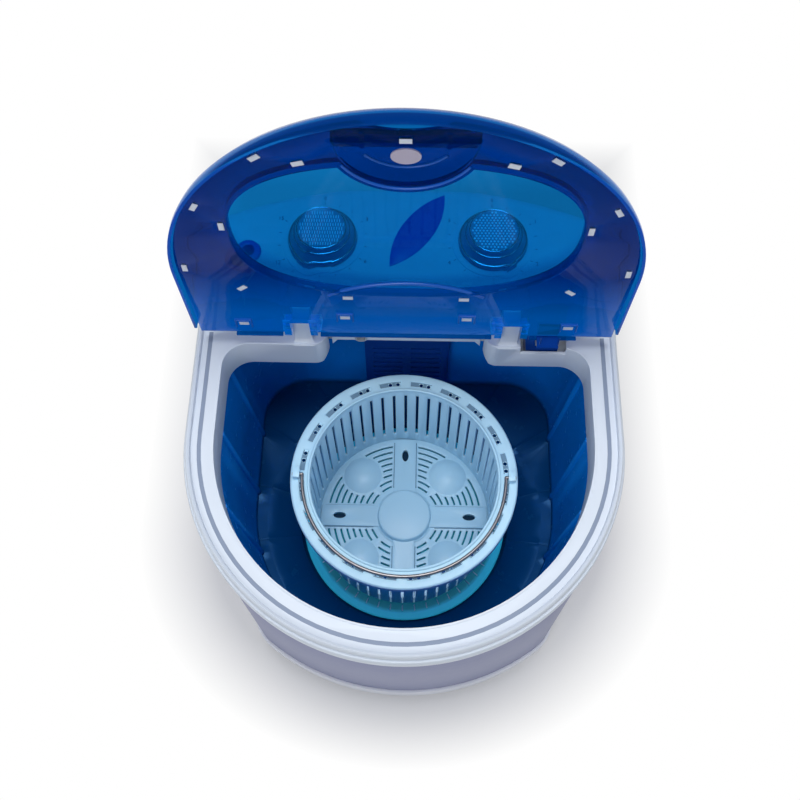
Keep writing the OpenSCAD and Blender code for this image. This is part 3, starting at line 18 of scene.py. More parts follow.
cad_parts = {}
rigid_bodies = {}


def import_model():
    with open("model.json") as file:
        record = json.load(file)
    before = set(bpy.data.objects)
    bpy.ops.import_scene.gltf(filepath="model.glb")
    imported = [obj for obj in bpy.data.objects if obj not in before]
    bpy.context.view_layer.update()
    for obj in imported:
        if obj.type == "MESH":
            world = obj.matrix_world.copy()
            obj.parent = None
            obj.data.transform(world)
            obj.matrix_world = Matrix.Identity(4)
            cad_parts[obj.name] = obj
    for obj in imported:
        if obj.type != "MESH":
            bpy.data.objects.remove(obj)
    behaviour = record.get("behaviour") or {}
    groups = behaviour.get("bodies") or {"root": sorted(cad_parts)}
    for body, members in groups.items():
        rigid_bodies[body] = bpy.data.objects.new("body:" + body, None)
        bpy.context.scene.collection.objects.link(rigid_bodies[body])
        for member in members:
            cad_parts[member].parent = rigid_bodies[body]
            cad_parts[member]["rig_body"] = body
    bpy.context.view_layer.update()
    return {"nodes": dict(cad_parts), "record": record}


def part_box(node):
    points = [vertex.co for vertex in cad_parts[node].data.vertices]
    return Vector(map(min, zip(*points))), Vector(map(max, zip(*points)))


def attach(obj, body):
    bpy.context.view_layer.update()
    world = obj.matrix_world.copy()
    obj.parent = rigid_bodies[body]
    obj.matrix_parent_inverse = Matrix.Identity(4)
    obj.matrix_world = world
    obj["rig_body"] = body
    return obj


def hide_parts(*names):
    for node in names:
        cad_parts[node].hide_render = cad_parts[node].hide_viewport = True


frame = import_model()
MM = 0.001

log = logging.getLogger("washing_machine")

Colour = tuple[float, float, float]


def linear(red: int, green: int, blue: int) -> Colour:
    """Linear colour of an 8-bit display colour."""

    def channel(value: int) -> float:
        """Linear value of one display channel."""
        share = value / 255
        return share / 12.92 if share <= 0.04045 else ((share + 0.055) / 1.055) ** 2.4

    return channel(red), channel(green), channel(blue)


def scaled(colour: Colour, share: float) -> Colour:
    """The colour made darker or lighter by a share."""
    return colour[0] * share, colour[1] * share, colour[2] * share


class Wire:
    """Output of a shader node that can stand in a Python expression."""

    def __init__(self, graph: "Graph", socket: bpy.types.NodeSocket) -> None:
        """Wraps a socket of the graph."""
        self.graph = graph
        self.socket = socket

    def __add__(self, other: "Wire | float") -> "Wire":
        """Sum of two values."""
        return self.graph.math("ADD", self, other)

    __radd__ = __add__

    def __mul__(self, other: "Wire | float") -> "Wire":
        """Product of two values."""
        return self.graph.math("MULTIPLY", self, other)

    __rmul__ = __mul__


class Graph:
    """Node tree of one material."""

    def __init__(self, name: str) -> None:
        """Starts an empty material.

        Args:
            name: Name of the material.
        """
        self.material = bpy.data.materials.new(name)
        self.material.use_nodes = True
        self.tree = self.material.node_tree
        self.tree.nodes.clear()

    def node(
        self,
        kind: str,
        values: dict[str | int, object] | None = None,
        settings: dict[str, object] | None = None,
        out: str | int = 0,
    ) -> Wire:
        """Adds a node.

        Args:
            kind: Blender's type name of the node.
            values: Number, colour or wire of each input, by its name or place.
            settings: Properties of the node, set before its inputs.
            out: Output that the wire leaves by.

        Returns:
            The wire of that output.
        """
        made = self.tree.nodes.new(kind)
        for key, value in (settings or {}).items():
            setattr(made, key, value)
        for key, value in (values or {}).items():
            if isinstance(value, Wire):
                self.tree.links.new(value.socket, made.inputs[key])
            else:
                made.inputs[key].default_value = value
        return Wire(self, made.outputs[out])

    def math(self, operation: str, first: "Wire | float", second: "Wire | float") -> Wire:
        """Result of a two-input Math node."""
        return self.node("ShaderNodeMath", {0: first, 1: second}, {"operation": operation})

    def mix_colour(self, share: "Wire | float", low: object, high: object) -> Wire:
        """Blend of two colours.

        Args:
            share: Part of the second colour, from 0 to 1.
            low: First colour or its wire.
            high: Second colour or its wire.

        Returns:
            Wire of the blend.
        """
        low, high = ((*c, 1) if isinstance(c, tuple) else c for c in (low, high))
        return self.node("ShaderNodeMix", {0: share, 6: low, 7: high}, {"data_type": "RGBA"}, 2)

    def place(self) -> Wire:
        """Object coordinates, in metres."""
        return self.node("ShaderNodeTexCoord", out="Object")

    def noise(self, scale: float, detail: float = 2.0, roughness: float = 0.5) -> Wire:
        """Noise over the object's own coordinates.

        Args:
            scale: Noise cells in a metre.
            detail: Octaves of the noise.
            roughness: Share of the finer octaves.

        Returns:
            Wire with values about 0.5.
        """
        values = {"Vector": self.place(), "Scale": scale, "Detail": detail, "Roughness": roughness}
        return self.node("ShaderNodeTexNoise", values)

    def bump(self, height: Wire, depth: float, strength: float = 1.0, under: Wire | None = None) -> Wire:
        """Normal of a bumpy surface.

        Args:
            height: Height of the bumps, from 0 to 1.
            depth: Height that 1 stands for, in metres.
            strength: Share of the effect.
            under: Normal that it is laid over.

        Returns:
            Wire of the normal.
        """
        values: dict[str | int, object] = {"Height": height, "Distance": depth, "Strength": strength}
        if under:
            values["Normal"] = under
        return self.node("ShaderNodeBump", values)

    def finish(self, shader: Wire) -> bpy.types.Material:
        """Joins the shader to the material's output."""
        output = self.tree.nodes.new("ShaderNodeOutputMaterial")
        self.tree.links.new(shader.socket, output.inputs["Surface"])
        return self.material


@dataclass(frozen=True)
class Fade:
    """Change of a colour with the distance from a centre, measured along weighted axes."""

    centre: Colour
    weights: Colour
    begin: float
    end: float
    near: float = 1.0
    far: float = 1.0

    def share(self, graph: Graph, place: Wire | None = None) -> Wire:
        """Share of the colour at each place.

        Args:
            graph: Node tree that uses it.
            place: Wire of the place. The object's own coordinates stand in for none.

        Returns:
            Wire that runs from the near share to the far one.
        """
        values = {0: place or graph.place(), 1: self.centre}
        offset = graph.node("ShaderNodeVectorMath", values, {"operation": "SUBTRACT"})
        flat = graph.node("ShaderNodeVectorMath", {0: offset, 1: self.weights}, {"operation": "MULTIPLY"})
        away = graph.node("ShaderNodeVectorMath", {0: flat}, {"operation": "LENGTH"}, "Value")
        ends = {"From Min": self.begin, "From Max": self.end, "To Min": self.near, "To Max": self.far}
        return graph.node("ShaderNodeMapRange", {"Value": away, **ends})


@dataclass(frozen=True)
class Moulded:
    """Opaque moulded plastic with a fine eroded grain and a faint unevenness of colour and gloss; where
    given, a fade darkens its colour as painted shade and a glow lights it as painted light.
    """

    name: str
    colour: Colour
    roughness: float = 0.36
    uneven: float = 0.05
    grain: float = 0.00003
    ripple: float = 0.0
    coat: float = 0.0
    shine: float = 0.5
    sheen_colour: Colour = (1.0, 1.0, 1.0)
    painted_glow: float = 0.0
    fade: Fade | None = None

    def make(self) -> bpy.types.Material:
        """Builds the material."""
        graph = Graph(self.name)
        cloud = graph.noise(9, 3)
        smear = graph.noise(70, 4, 0.6)
        normal = graph.bump(graph.noise(1300, 2), self.grain, 0.6)
        if self.ripple:
            normal = graph.bump(graph.noise(46, 1), self.ripple, 1.0, normal)
        paint = graph.mix_colour(cloud, scaled(self.colour, 1 - self.uneven), self.colour)
        # Painted shade: the fade darkens the colour towards black.
        if self.fade:
            paint = graph.mix_colour(self.fade.share(graph), (0.0, 0.0, 0.0), paint)
        values: dict[str | int, object] = {
            "Base Color": paint,
            "Roughness": self.roughness - 0.05 + 0.1 * smear,
            "Normal": normal,
            "Coat Weight": self.coat,
            "Coat Roughness": 0.12,
            "Specular IOR Level": self.shine,
            "Specular Tint": (*self.sheen_colour, 1),
            # Painted light: the glow makes the plastic shine though it is no lamp.
            "Emission Color": (*self.colour, 1),
            "Emission Strength": self.painted_glow,
        }
        return graph.finish(graph.node("ShaderNodeBsdfPrincipled", values))


@dataclass(frozen=True)
class ClearPlastic:
    """Clear tinted plastic, moulded thin, with faint flow marks, a fade that darkens its tint as painted
    shade, and a painted glow that stands in for light scattered inside.
    """

    name: str
    colour: Colour
    painted_glow_colour: Colour
    fade: Fade
    painted_glow_fade: Fade
    index: float = 1.14
    roughness: float = 0.04
    ripple: float = 0.00025

    def make(self) -> bpy.types.Material:
        """Builds the material."""
        graph = Graph(self.name)
        flow = graph.noise(30, 2)
        tint = graph.mix_colour(flow, scaled(self.colour, 0.9), self.colour)
        values: dict[str | int, object] = {
            # Painted shade: the fade darkens the tint away from its brightest part.
            "Base Color": graph.mix_colour(self.fade.share(graph), (0.0, 0.0, 0.0), tint),
            "Roughness": self.roughness,
            "IOR": self.index,
            "Transmission Weight": 1.0,
            "Specular Tint": (0.12, 0.4, 1.0, 1),
            # Painted light: a glow, spread by its own fade, stands in for light scattered inside.
            "Emission Color": graph.mix_colour(self.painted_glow_fade.share(graph), (0.0, 0.0, 0.0), self.painted_glow_colour),
            "Emission Strength": 1.0,
            "Normal": graph.bump(graph.noise(24, 1), self.ripple),
        }
        return graph.finish(graph.node("ShaderNodeBsdfPrincipled", values))


@dataclass(frozen=True)
class Metal:
    """Bare or plated metal with fine scratches and uneven polish."""

    name: str
    colour: Colour
    roughness: float = 0.28
    scratch: float = 0.00002

    def make(self) -> bpy.types.Material:
        """Builds the material."""
        graph = Graph(self.name)
        polish = graph.noise(160, 5, 0.65)
        values: dict[str | int, object] = {
            "Base Color": graph.mix_colour(polish, scaled(self.colour, 0.82), self.colour),
            "Roughness": self.roughness - 0.08 + 0.16 * polish,
            "Metallic": 1.0,
            "Normal": graph.bump(graph.noise(2600, 3), self.scratch, 0.7),
        }
        return graph.finish(graph.node("ShaderNodeBsdfPrincipled", values))


@dataclass(frozen=True)
class Rubber:
    """Matt rubber with a dusty bloom."""

    name: str
    colour: Colour
    roughness: float = 0.75

    def make(self) -> bpy.types.Material:
        """Builds the material."""
        graph = Graph(self.name)
        bloom = graph.noise(120, 5, 0.7)
        values: dict[str | int, object] = {
            "Base Color": graph.mix_colour(bloom, self.colour, scaled(self.colour, 1.7)),
            "Roughness": self.roughness - 0.06 + 0.12 * bloom,
            "Normal": graph.bump(graph.noise(900, 3), 0.00006, 0.8),
        }
        return graph.finish(graph.node("ShaderNodeBsdfPrincipled", values))


class Finish(Enum):
    """Finishes of the machine's pieces."""

    FRAME = Moulded("frame_white", linear(214, 223, 235), 0.4, 0.03, ripple=0.00012, shine=0.3)
    # Pale lavender body colour, darkened to stand in for the shade under the rim: painted shade.
    CABINET = Moulded("cabinet_lavender_shaded", linear(122, 130, 172), 0.42, 0.04, shine=0.3)
    BASE = Moulded("base_white", linear(240, 243, 252), 0.4, 0.04, shine=0.3)
    PANEL = Moulded("panel_pale_blue", linear(205, 228, 240), 0.3, 0.03)
    # Painted shade: the fade darkens the tub from its floor down to about a quarter of its colour.
    TUB = Moulded(
        "tub_blue_shaded_floor", linear(5, 122, 216), 0.26, 0.12, ripple=0.0003, shine=0.4,
        sheen_colour=(0.15, 0.45, 1.0), fade=Fade((0.0, 0.0, 0.26), (0.0, 0.0, 1.0), 0.041, 0.05, 0.24),
    )
    # Painted shade: the fade keeps the full colour at the rim and darkens it by about an eighth towards the
    # floor.
    BASKET = Moulded(
        "basket_ice_blue_shaded", linear(186, 229, 252), 0.36, 0.03, ripple=0.0001, shine=0.35,
        fade=Fade((0.0, 0.0, 0.415), (0.0, 0.0, 1.0), 0.01, 0.11, 1.0, 0.87),
    )
    # Painted shadow: grey of the strip on the lid's seat.
    SEAT = Moulded("seat_shadow_grey", linear(136, 149, 172), 0.5, 0.04, shine=0.2)
    # Painted shade: grey-blue laid in the rim's pockets and along the spokes' feet.
    POCKET = Moulded("pocket_shade_grey_blue", linear(112, 146, 172), 0.5, 0.05, shine=0.2)
    # Painted shade: a dark sheet under the spokes' holes.
    WELL = Moulded("hole_shade_dark", linear(14, 48, 74), 0.6, 0.1, shine=0.1)
    # Painted shadow of the basket: the fade darkens the disc inside the ring to about a quarter; a faint glow
    # is painted light.
    PULSATOR = Moulded(
        "pulsator_cyan_shaded", linear(60, 218, 255), 0.34, 0.05, shine=0.3,
        sheen_colour=(0.3, 0.75, 1.0), painted_glow=0.08,
        fade=Fade((0.0, -0.036, 0.0), (1.0, 1.0, 0.0), 0.0925, 0.0965, 0.26),
    )
    # Painted light: pale glowing colour of the light through the basket's slots.
    SLOT = Moulded("slot_painted_light", linear(150, 196, 216), 0.5, 0.05, painted_glow=0.3)
    KNOB = Moulded("knob_silver_blue", linear(132, 168, 196), 0.24, 0.08, coat=0.6)
    # The marks are pale; their glow is painted light.
    MARK = Moulded("knob_mark_pale_glowing", linear(250, 253, 255), 0.3, 0.03, coat=0.4, painted_glow=0.3)
    # The lid's ribs are real; their opaque lighter blue is a painted highlight along them.
    GLINT = Moulded("lid_rib_highlight_blue", linear(18, 92, 190), 0.3, 0.06)
    PRINT = Moulded("print_slate", linear(60, 92, 130), 0.5, 0.05)
    LEAF = Moulded("leaf_blue", linear(40, 104, 200), 0.28, 0.04, coat=0.2)
    CLIP = Moulded("clip_white", linear(226, 232, 242), 0.4, 0.03)
    PAD = Moulded("pad_pale", linear(205, 196, 214), 0.45, 0.04)
    NAVY = Moulded("switch_navy", linear(10, 62, 150), 0.3, 0.06, sheen_colour=(0.2, 0.5, 1.0))
    DARK = Moulded("housing_charcoal", linear(58, 60, 66), 0.5, 0.08)
    PIPE = Moulded("pipe_grey", linear(176, 180, 186), 0.42, 0.05)
    # Outside the window's ellipse the tint darkens, painted shade, and a blue glow shows, painted light.
    LID = ClearPlastic(
        "lid_clear_blue", (0.005, 0.212, 0.57), (0.0, 0.035, 0.16),
        Fade((0.0, 0.0, 0.665), (7.7, 0.0, 11.8), 1.0, 1.16, 1.0, 0.42),
        Fade((0.0, 0.0, 0.665), (7.7, 0.0, 11.8), 1.0, 1.16, 0.0, 0.6),
    )
    # Near the hinge's height the tint is lighter and a glow shows, both painted light that fades away above
    # and below.
    LID_DEEP = ClearPlastic(
        "lid_clear_deep", (0.01, 0.17, 0.52), (0.0, 0.045, 0.14),
        Fade((0.0, 0.0, 0.5), (0.0, 0.0, 1.0), 0.03, 0.11, 1.0, 0.8),
        Fade((0.0, 0.0, 0.5), (0.0, 0.0, 1.0), 0.05, 0.115, 1.0, 0.08),
    )
    TRIM = Metal("bright_trim", (0.82, 0.87, 0.92), 0.16)
    STEEL = Metal("bright_steel", (0.62, 0.63, 0.65), 0.24)
    WIRE = Metal("dull_wire", (0.3, 0.28, 0.28), 0.34)
    CAST = Metal("cast_alloy", (0.42, 0.43, 0.45), 0.45, 0.00008)
    PAINTED = Metal("zinc_plate", (0.5, 0.52, 0.54), 0.38)
    RUBBER = Rubber("black_rubber", (0.02, 0.02, 0.022))
    FOOT = Rubber("grey_rubber", (0.06, 0.062, 0.068))

    def material(self) -> bpy.types.Material:
        """The finish's material, built when it is first asked for."""
        found = bpy.data.materials.get(self.value.name)
        return found or self.value.make()


def deselect() -> None:
    """Leaves nothing selected, in object mode."""
    if bpy.context.object and bpy.context.object.mode != "OBJECT":
        bpy.ops.object.mode_set(mode="OBJECT")
    bpy.ops.object.select_all(action="DESELECT")


def dress(node: str, finish: Finish) -> None:
    """Gives a solid of the frame its finish.

    Args:
        node: Name of the solid's node.
        finish: Its finish.
    """
    solid = frame["nodes"][node]
    for held in solid.material_slots:
        held.material = finish.material()


def place_piece(piece: bpy.types.Object, finish: Finish, body: str, slot: str) -> bpy.types.Object:
    """Gives a finished piece its material and the body that it rides on.

    Args:
        piece: The piece.
        finish: Its finish.
        body: Body that carries it.
        slot: Material slot of the record. Not used.

    Returns:
        The piece.
    """
    piece.data.materials.clear()
    piece.data.materials.append(finish.material())
    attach(piece, body)
    log.info("%s: %d faces, on %s", piece.name, len(piece.data.polygons), body)
    return piece


def softened(
    nodes: str | Sequence[str],
    name: str,
    finish: Finish,
    bevel: float,
    steps: int = 2,
    sharp: float = 34,
    flat: float = 0.4,
) -> bpy.types.Object:
    """Merged copy of one or more solids with its edges rounded, which stands for them.

    Args:
        nodes: Name of the solid's node, or the names of several on one body.
        name: Name of the copy.
        finish: Its finish.
        bevel: Width of the rounding, in metres. 0 leaves the edges as they are.
        steps: Segments of the rounding.
        sharp: Least angle between faces, in degrees, that is an edge.
        flat: Angle below which neighbouring faces are joined, in degrees. 0 joins none, for faces with holes.

    Returns:
        The copy.
    """
    names = [nodes] if isinstance(nodes, str) else list(nodes)
    copies = []
    for node in names:
        copy = bpy.data.objects.new(name, frame["nodes"][node].data.copy())
        bpy.context.scene.collection.objects.link(copy)
        copies.append(copy)
    piece = joined_pieces(copies, name)
    bpy.ops.mesh.customdata_custom_splitnormals_clear()
    bpy.ops.object.mode_set(mode="EDIT")
    bpy.ops.mesh.select_all(action="SELECT")
    bpy.ops.mesh.remove_doubles(threshold=0.002 * MM)
    if flat:
        bpy.ops.mesh.dissolve_limited(angle_limit=math.radians(flat))
    bpy.ops.object.mode_set(mode="OBJECT")
    if bevel:
        rounding = piece.modifiers.new("rounding", "BEVEL")
        rounding.width = bevel
        rounding.segments = steps
        rounding.limit_method = "ANGLE"
        rounding.angle_limit = math.radians(sharp)
        rounding.miter_outer = "MITER_ARC"
        bpy.ops.object.modifier_apply(modifier=rounding.name)
    bpy.ops.object.shade_smooth_by_angle(angle=math.radians(sharp))
    place_piece(piece, finish, frame["nodes"][names[0]]["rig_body"], slot_of(names[0]))
    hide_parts(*names)
    return piece


def slot_of(node: str) -> str:
    """Material slot that the record gives a node.

    Args:
        node: Name of the node.

    Returns:
        Name of its slot.
    """
    slots = {row["node"]: row["material_slot"] for row in frame["record"]["subparts"]}
    return slots[node]


def rounded_bar(size: Vector, bevel: float) -> bpy.types.Object:
    """Bar with rounded edges, centred on the origin.

    Args:
        size: Its length along each axis.
        bevel: Width of the rounding.

    Returns:
        The bar.
    """
    deselect()
    bpy.ops.mesh.primitive_cube_add(size=1)
    bar = bpy.context.object
    bar.scale = size
    bpy.ops.object.transform_apply(location=True, rotation=True, scale=True)
    bpy.ops.object.mode_set(mode="EDIT")
    bpy.ops.mesh.select_all(action="SELECT")
    bpy.ops.mesh.bevel(offset=bevel, segments=2, affect="EDGES")
    bpy.ops.object.mode_set(mode="OBJECT")
    return bar


def low_dome(radius: float, height: float, sides: int = 12) -> bpy.types.Object:
    """Closed dome that stands on the origin's plane.

    Args:
        radius: Its radius.
        height: Its height.
        sides: Its sides.

    Returns:
        The dome.
    """
    deselect()
    bpy.ops.mesh.primitive_uv_sphere_add(segments=sides, ring_count=6, radius=1)
    dome = bpy.context.object
    dome.scale = (radius, radius, height)
    bpy.ops.object.transform_apply(location=True, rotation=True, scale=True)
    bpy.ops.object.mode_set(mode="EDIT")
    bpy.ops.mesh.select_all(action="SELECT")
    bpy.ops.mesh.bisect(
        plane_co=(0, 0, 0), plane_no=(0, 0, 1), use_fill=True, clear_inner=True, threshold=1e-6
    )
    bpy.ops.object.mode_set(mode="OBJECT")
    return dome


def repeated(model: bpy.types.Object, places: Iterable[Matrix], name: str) -> bpy.types.Object:
    """Joins copies of a modelled piece, each with its own mesh.

    Args:
        model: The piece, which is used up.
        places: Where each copy goes.
        name: Name of the result.

    Returns:
        The joined copies.
    """
    copies = []
    for place in places:
        copy = bpy.data.objects.new(name, model.data.copy())
        copy.data.transform(place)
        bpy.context.scene.collection.objects.link(copy)
        copies.append(copy)
    bpy.data.objects.remove(model)
    deselect()
    for copy in copies:
        copy.select_set(True)
    bpy.context.view_layer.objects.active = copies[0]
    bpy.ops.object.join()
    joined = bpy.context.object
    joined.name = name
    bpy.ops.object.shade_smooth_by_angle(angle=math.radians(40))
    return joined


def swept_ring(
    radius: float, wide: float, high: float, start: float = 0.0, sweep: float = 360.0, sides: int = 10
) -> bpy.types.Object:
    """Rib of oval section along an arc about the upright axis, closed at its ends.

    Args:
        radius: Radius of the rib's middle line.
        wide: Width of its section, across the arc.
        high: Height of its section.
        start: Angle where it starts, in degrees.
        sweep: Angle that it covers, in degrees. 360 closes it on itself.
        sides: Sides of its section.

    Returns:
        The rib, centred on the origin's plane.
    """
    deselect()
    whole = sweep >= 360
    bpy.ops.mesh.primitive_circle_add(vertices=sides, radius=0.5, fill_type="NOTHING" if whole else "NGON")
    rib = bpy.context.object
    section = moved(radius, 0, 0) @ Matrix.Rotation(math.pi / 2, 4, "X") @ Matrix.Diagonal((wide, high, 1, 1))
    rib.data.transform(turned(start) @ section)
    bpy.ops.object.mode_set(mode="EDIT")
    bpy.ops.mesh.select_all(action="SELECT")
    steps = max(4, round(sweep / 4))
    bpy.ops.mesh.spin(
        steps=steps, angle=-math.radians(sweep), center=(0, 0, 0), axis=(0, 0, 1), dupli=False
    )
    bpy.ops.mesh.select_all(action="SELECT")
    bpy.ops.mesh.remove_doubles(threshold=0.001 * MM)
    if not whole:
        bpy.ops.mesh.fill_holes(sides=0)
    bpy.ops.mesh.select_all(action="SELECT")
    bpy.ops.mesh.normals_make_consistent(inside=False)
    bpy.ops.object.mode_set(mode="OBJECT")
    bpy.ops.object.shade_smooth_by_angle(angle=math.radians(50))
    return rib


def placed(piece: bpy.types.Object, *places: Matrix) -> bpy.types.Object:
    """Moves a piece's mesh, so that the piece itself stays at the origin.

    Args:
        piece: The piece.
        places: Moves, of which the last is made first.

    Returns:
        The piece.
    """
    whole = Matrix.Identity(4)
    for place in places:
        whole = whole @ place
    piece.data.transform(whole)
    piece.data.update()
    return piece


def joined_pieces(pieces: list[bpy.types.Object], name: str) -> bpy.types.Object:
    """Joins several pieces into one.

    Args:
        pieces: The pieces.
        name: Name of the result.

    Returns:
        The joined piece.
    """
    deselect()
    for piece in pieces:
        piece.select_set(True)
    bpy.context.view_layer.objects.active = pieces[0]
    bpy.ops.object.join()
    whole = bpy.context.object
    whole.name = name
    return whole


def turned(degrees: float) -> Matrix:
    """Turn about the upright axis."""
    return Matrix.Rotation(math.radians(degrees), 4, "Z")


def moved(x: float, y: float, z: float) -> Matrix:
    """Move by three lengths."""
    return Matrix.Translation((x, y, z))


@dataclass
class Studio:
    """Camera, floor and lights."""

    eye: Vector = field(default_factory=lambda: Vector((0.0074, -0.332, 1.238)))
    azimuth: float = -1.94
    down: float = 65.65
    roll: float = -0.78
    lens: float = 43.2
    floor_colour: Colour = (0.86, 0.86, 0.87)
    floor_size: float = 16.0
    floor_middle: float = 0.049

    def build(self) -> None:
        """Sets up the whole studio."""
        self.camera()
        self.floor()
        self.lights()

    def camera(self) -> None:
        """Places the camera at the photograph's viewpoint."""
        turn, dip, tilt = (math.radians(a) for a in (self.azimuth, self.down, self.roll))
        right = Vector((math.cos(turn), -math.sin(turn), 0))
        ahead = Vector((math.sin(turn) * math.cos(dip), math.cos(turn) * math.cos(dip), -math.sin(dip)))
        up = right.cross(ahead)
        across = right * math.cos(tilt) + up * math.sin(tilt)
        over = across.cross(ahead)
        rows = Matrix((across, over, -ahead)).transposed().to_4x4()
        lens = bpy.data.cameras.new("view")
        lens.lens = self.lens
        lens.sensor_width = 36
        lens.clip_start = 0.01
        camera = bpy.data.objects.new("view", lens)
        camera.matrix_world = Matrix.Translation(self.eye) @ rows
        bpy.context.scene.collection.objects.link(camera)
        bpy.context.scene.camera = camera

    def floor(self) -> None:
        """Lays a white floor that keeps the machine's shadow and fades to plain white.

        Behind its middle the fade depends on the distance to the side alone, up to the fade at the rear.
        """
        deselect()
        bpy.ops.mesh.primitive_plane_add(size=self.floor_size, location=(0, 0, 0))
        floor = bpy.context.object
        floor.name = "studio_floor"
        graph = Graph("studio_white")
        limits = (self.floor_size, self.floor_middle, self.floor_size)
        front = graph.node("ShaderNodeVectorMath", {0: graph.place(), 1: limits}, {"operation": "MINIMUM"})
        around = Fade((0.0, self.floor_middle, 0.0), (3.33, 3.8, 0.0), 0.87, 1.18, 0.0).share(graph, front)
        behind = Fade((0.0, 0.0, 0.0), (0.0, 1.0, 0.0), 0.59, 0.69, 0.0).share(graph)
        fade = graph.math("MAXIMUM", around, behind)
        paths = graph.node("ShaderNodeLightPath", out="Is Camera Ray")
        glossy = Wire(graph, paths.socket.node.outputs["Is Glossy Ray"])
        through = Wire(graph, paths.socket.node.outputs["Is Transmission Ray"])
        seen = graph.math("MINIMUM", paths + glossy + through, 1.0)
        matt = graph.node(
            "ShaderNodeBsdfPrincipled",
            {"Base Color": (*self.floor_colour, 1), "Roughness": 0.9, "Specular IOR Level": 0.1},
        )
        white = graph.node("ShaderNodeEmission", {"Color": (1, 1, 1, 1), "Strength": 1.0})
        shader = graph.node("ShaderNodeMixShader", {0: fade * seen, 1: matt, 2: white})
        floor.data.materials.append(graph.finish(shader))

    def lights(self) -> None:
        """Hangs soft lights overhead and in front and a weak one at the side, and sets the room's light."""
        for name, place, size, power, colour in (
            ("overhead", (0.0, 0.1, 2.4), 1.1, 24, (1.0, 1.0, 1.0)),
            ("front", (-0.75, -1.5, 2.3), 1.2, 17, (0.97, 0.98, 1.0)),
            ("side", (1.9, -0.6, 1.5), 1.2, 3, (0.97, 0.98, 1.0)),
        ):
            lamp = bpy.data.lights.new(name, "AREA")
            lamp.shape = "DISK"
            lamp.size = size
            lamp.energy = power
            lamp.color = colour
            hung = bpy.data.objects.new(name, lamp)
            hung.location = place
            aim = Vector((0, 0, 0.4)) - Vector(place)
            hung.rotation_euler = aim.to_track_quat("-Z", "Y").to_euler()
            bpy.context.scene.collection.objects.link(hung)
        world = bpy.data.worlds.new("room")
        world.use_nodes = True
        ground = world.node_tree.nodes["Background"]
        ground.inputs["Color"].default_value = (0.93, 0.96, 1.0, 1)
        ground.inputs["Strength"].default_value = 0.3
        bpy.context.scene.world = world
        bpy.context.scene.view_settings.view_transform = "Standard"


@dataclass
class Shell:
    """Cabinet, base and what shows on them."""

    def build(self) -> None:
        """Softens the mouldings and dresses the small pieces."""
        softened("cabinet", "cabinet_shell", Finish.CABINET, 0.6 * MM)
        softened("base_tray", "base_band", Finish.BASE, 0.9 * MM, flat=0)
        dress("rubber_feet", Finish.FOOT)
        softened("side_grips", "grip_cups", Finish.FRAME, 0.8 * MM)
        softened("service_cover", "back_cover", Finish.FRAME, 0.5 * MM)
        dress("cover_screws", Finish.STEEL)
        dress("cord_gland", Finish.DARK)
        dress("drain_pipe", Finish.PIPE)


@dataclass
class Frame:
    """Top frame with the hinge posts."""

    middle_y: float = -29 * MM
    seat_z: float = 494 * MM
    strip_r: float = 171.2 * MM
    strip_wide: float = 3.6 * MM
    strip_high: float = 0.4 * MM
    strip_side: float = 96 * MM

    def build(self) -> None:
        """Softens the frame, dresses the hinge and the lid switch, and models the painted shadow strip on the
        lid's seat.
        """
        softened("top_frame", "rim_frame", Finish.FRAME, 0.8 * MM, 3)
        dress("hinge_pins", Finish.STEEL)
        dress("lid_switch", Finish.NAVY)
        dress("switch_plunger", Finish.CLIP)
        self.seat_shadow_strip()

    def seat_shadow_strip(self) -> None:
        """Models a grey strip of painted shadow that runs round the lid's seat, with an arc in front and
        straight sides.
        """
        arc = swept_ring(self.strip_r, self.strip_wide, self.strip_high, 180.0, 180.0)
        pieces = [placed(arc, moved(0, self.middle_y, self.seat_z))]
        for x in (-self.strip_r, self.strip_r):
            side = rounded_bar(Vector((self.strip_wide, self.strip_side, self.strip_high)), 0.15 * MM)
            pieces.append(placed(side, moved(x, self.middle_y + self.strip_side / 2, self.seat_z)))
        place_piece(joined_pieces(pieces, "seat_shadow_strip"), Finish.SEAT, "machine", slot_of("top_frame"))


@dataclass(frozen=True)
class Scale:
    """Printed scale round a knob: its numbers run clockwise from the pointer's rest place."""

    name: str
    node: str
    labels: tuple[str, ...]
    sweep: float
    first: float = 90.0
    tick_r: float = 38.6 * MM
    label_r: float = 44.2 * MM

    def build(self) -> bpy.types.Object:
        """Models the ticks and the numbers.

        Returns:
            The printed scale.
        """
        low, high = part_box(self.node)
        middle = (low + high) / 2
        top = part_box("control_panel")[1].z
        steps = (len(self.labels) - 1) * 3
        turns = [self.first - self.sweep * i / steps for i in range(steps + 1)]
        places = [
            moved(middle.x, middle.y, top) @ turned(turn) @ moved(self.tick_r, 0, 0)
            for turn in turns
        ]
        ticks = repeated(rounded_bar(Vector((2.4, 0.5, 0.3)) * MM, 0.08 * MM), places, self.name)
        pieces = [ticks]
        for label, turn in zip(self.labels, turns[::3]):
            across = math.cos(math.radians(turn)) * self.label_r
            along = math.sin(math.radians(turn)) * self.label_r
            pieces.append(self.number(label, Vector((middle.x + across, middle.y + along, top))))
        return place_piece(joined_pieces(pieces, self.name), Finish.PRINT, "machine", slot_of(self.node))

    @staticmethod
    def number(label: str, place: Vector) -> bpy.types.Object:
        """One raised number.

        Args:
            label: Its digits.
            place: Its middle, on the panel.

        Returns:
            The number.
        """
        deselect()
        bpy.ops.object.text_add(location=place)
        text = bpy.context.object
        text.data.body = label
        text.data.size = 5.2 * MM
        text.data.extrude = 0.08 * MM
        text.data.align_x = "CENTER"
        text.data.align_y = "CENTER"
        text.data.resolution_u = 4
        bpy.ops.object.convert(target="MESH")
        bpy.ops.object.transform_apply(location=True, rotation=True, scale=True)
        return bpy.context.object


class Grip(Enum):
    """Textures of the knob tops."""

    STREAKS = "streaks"
    STUDS = "studs"


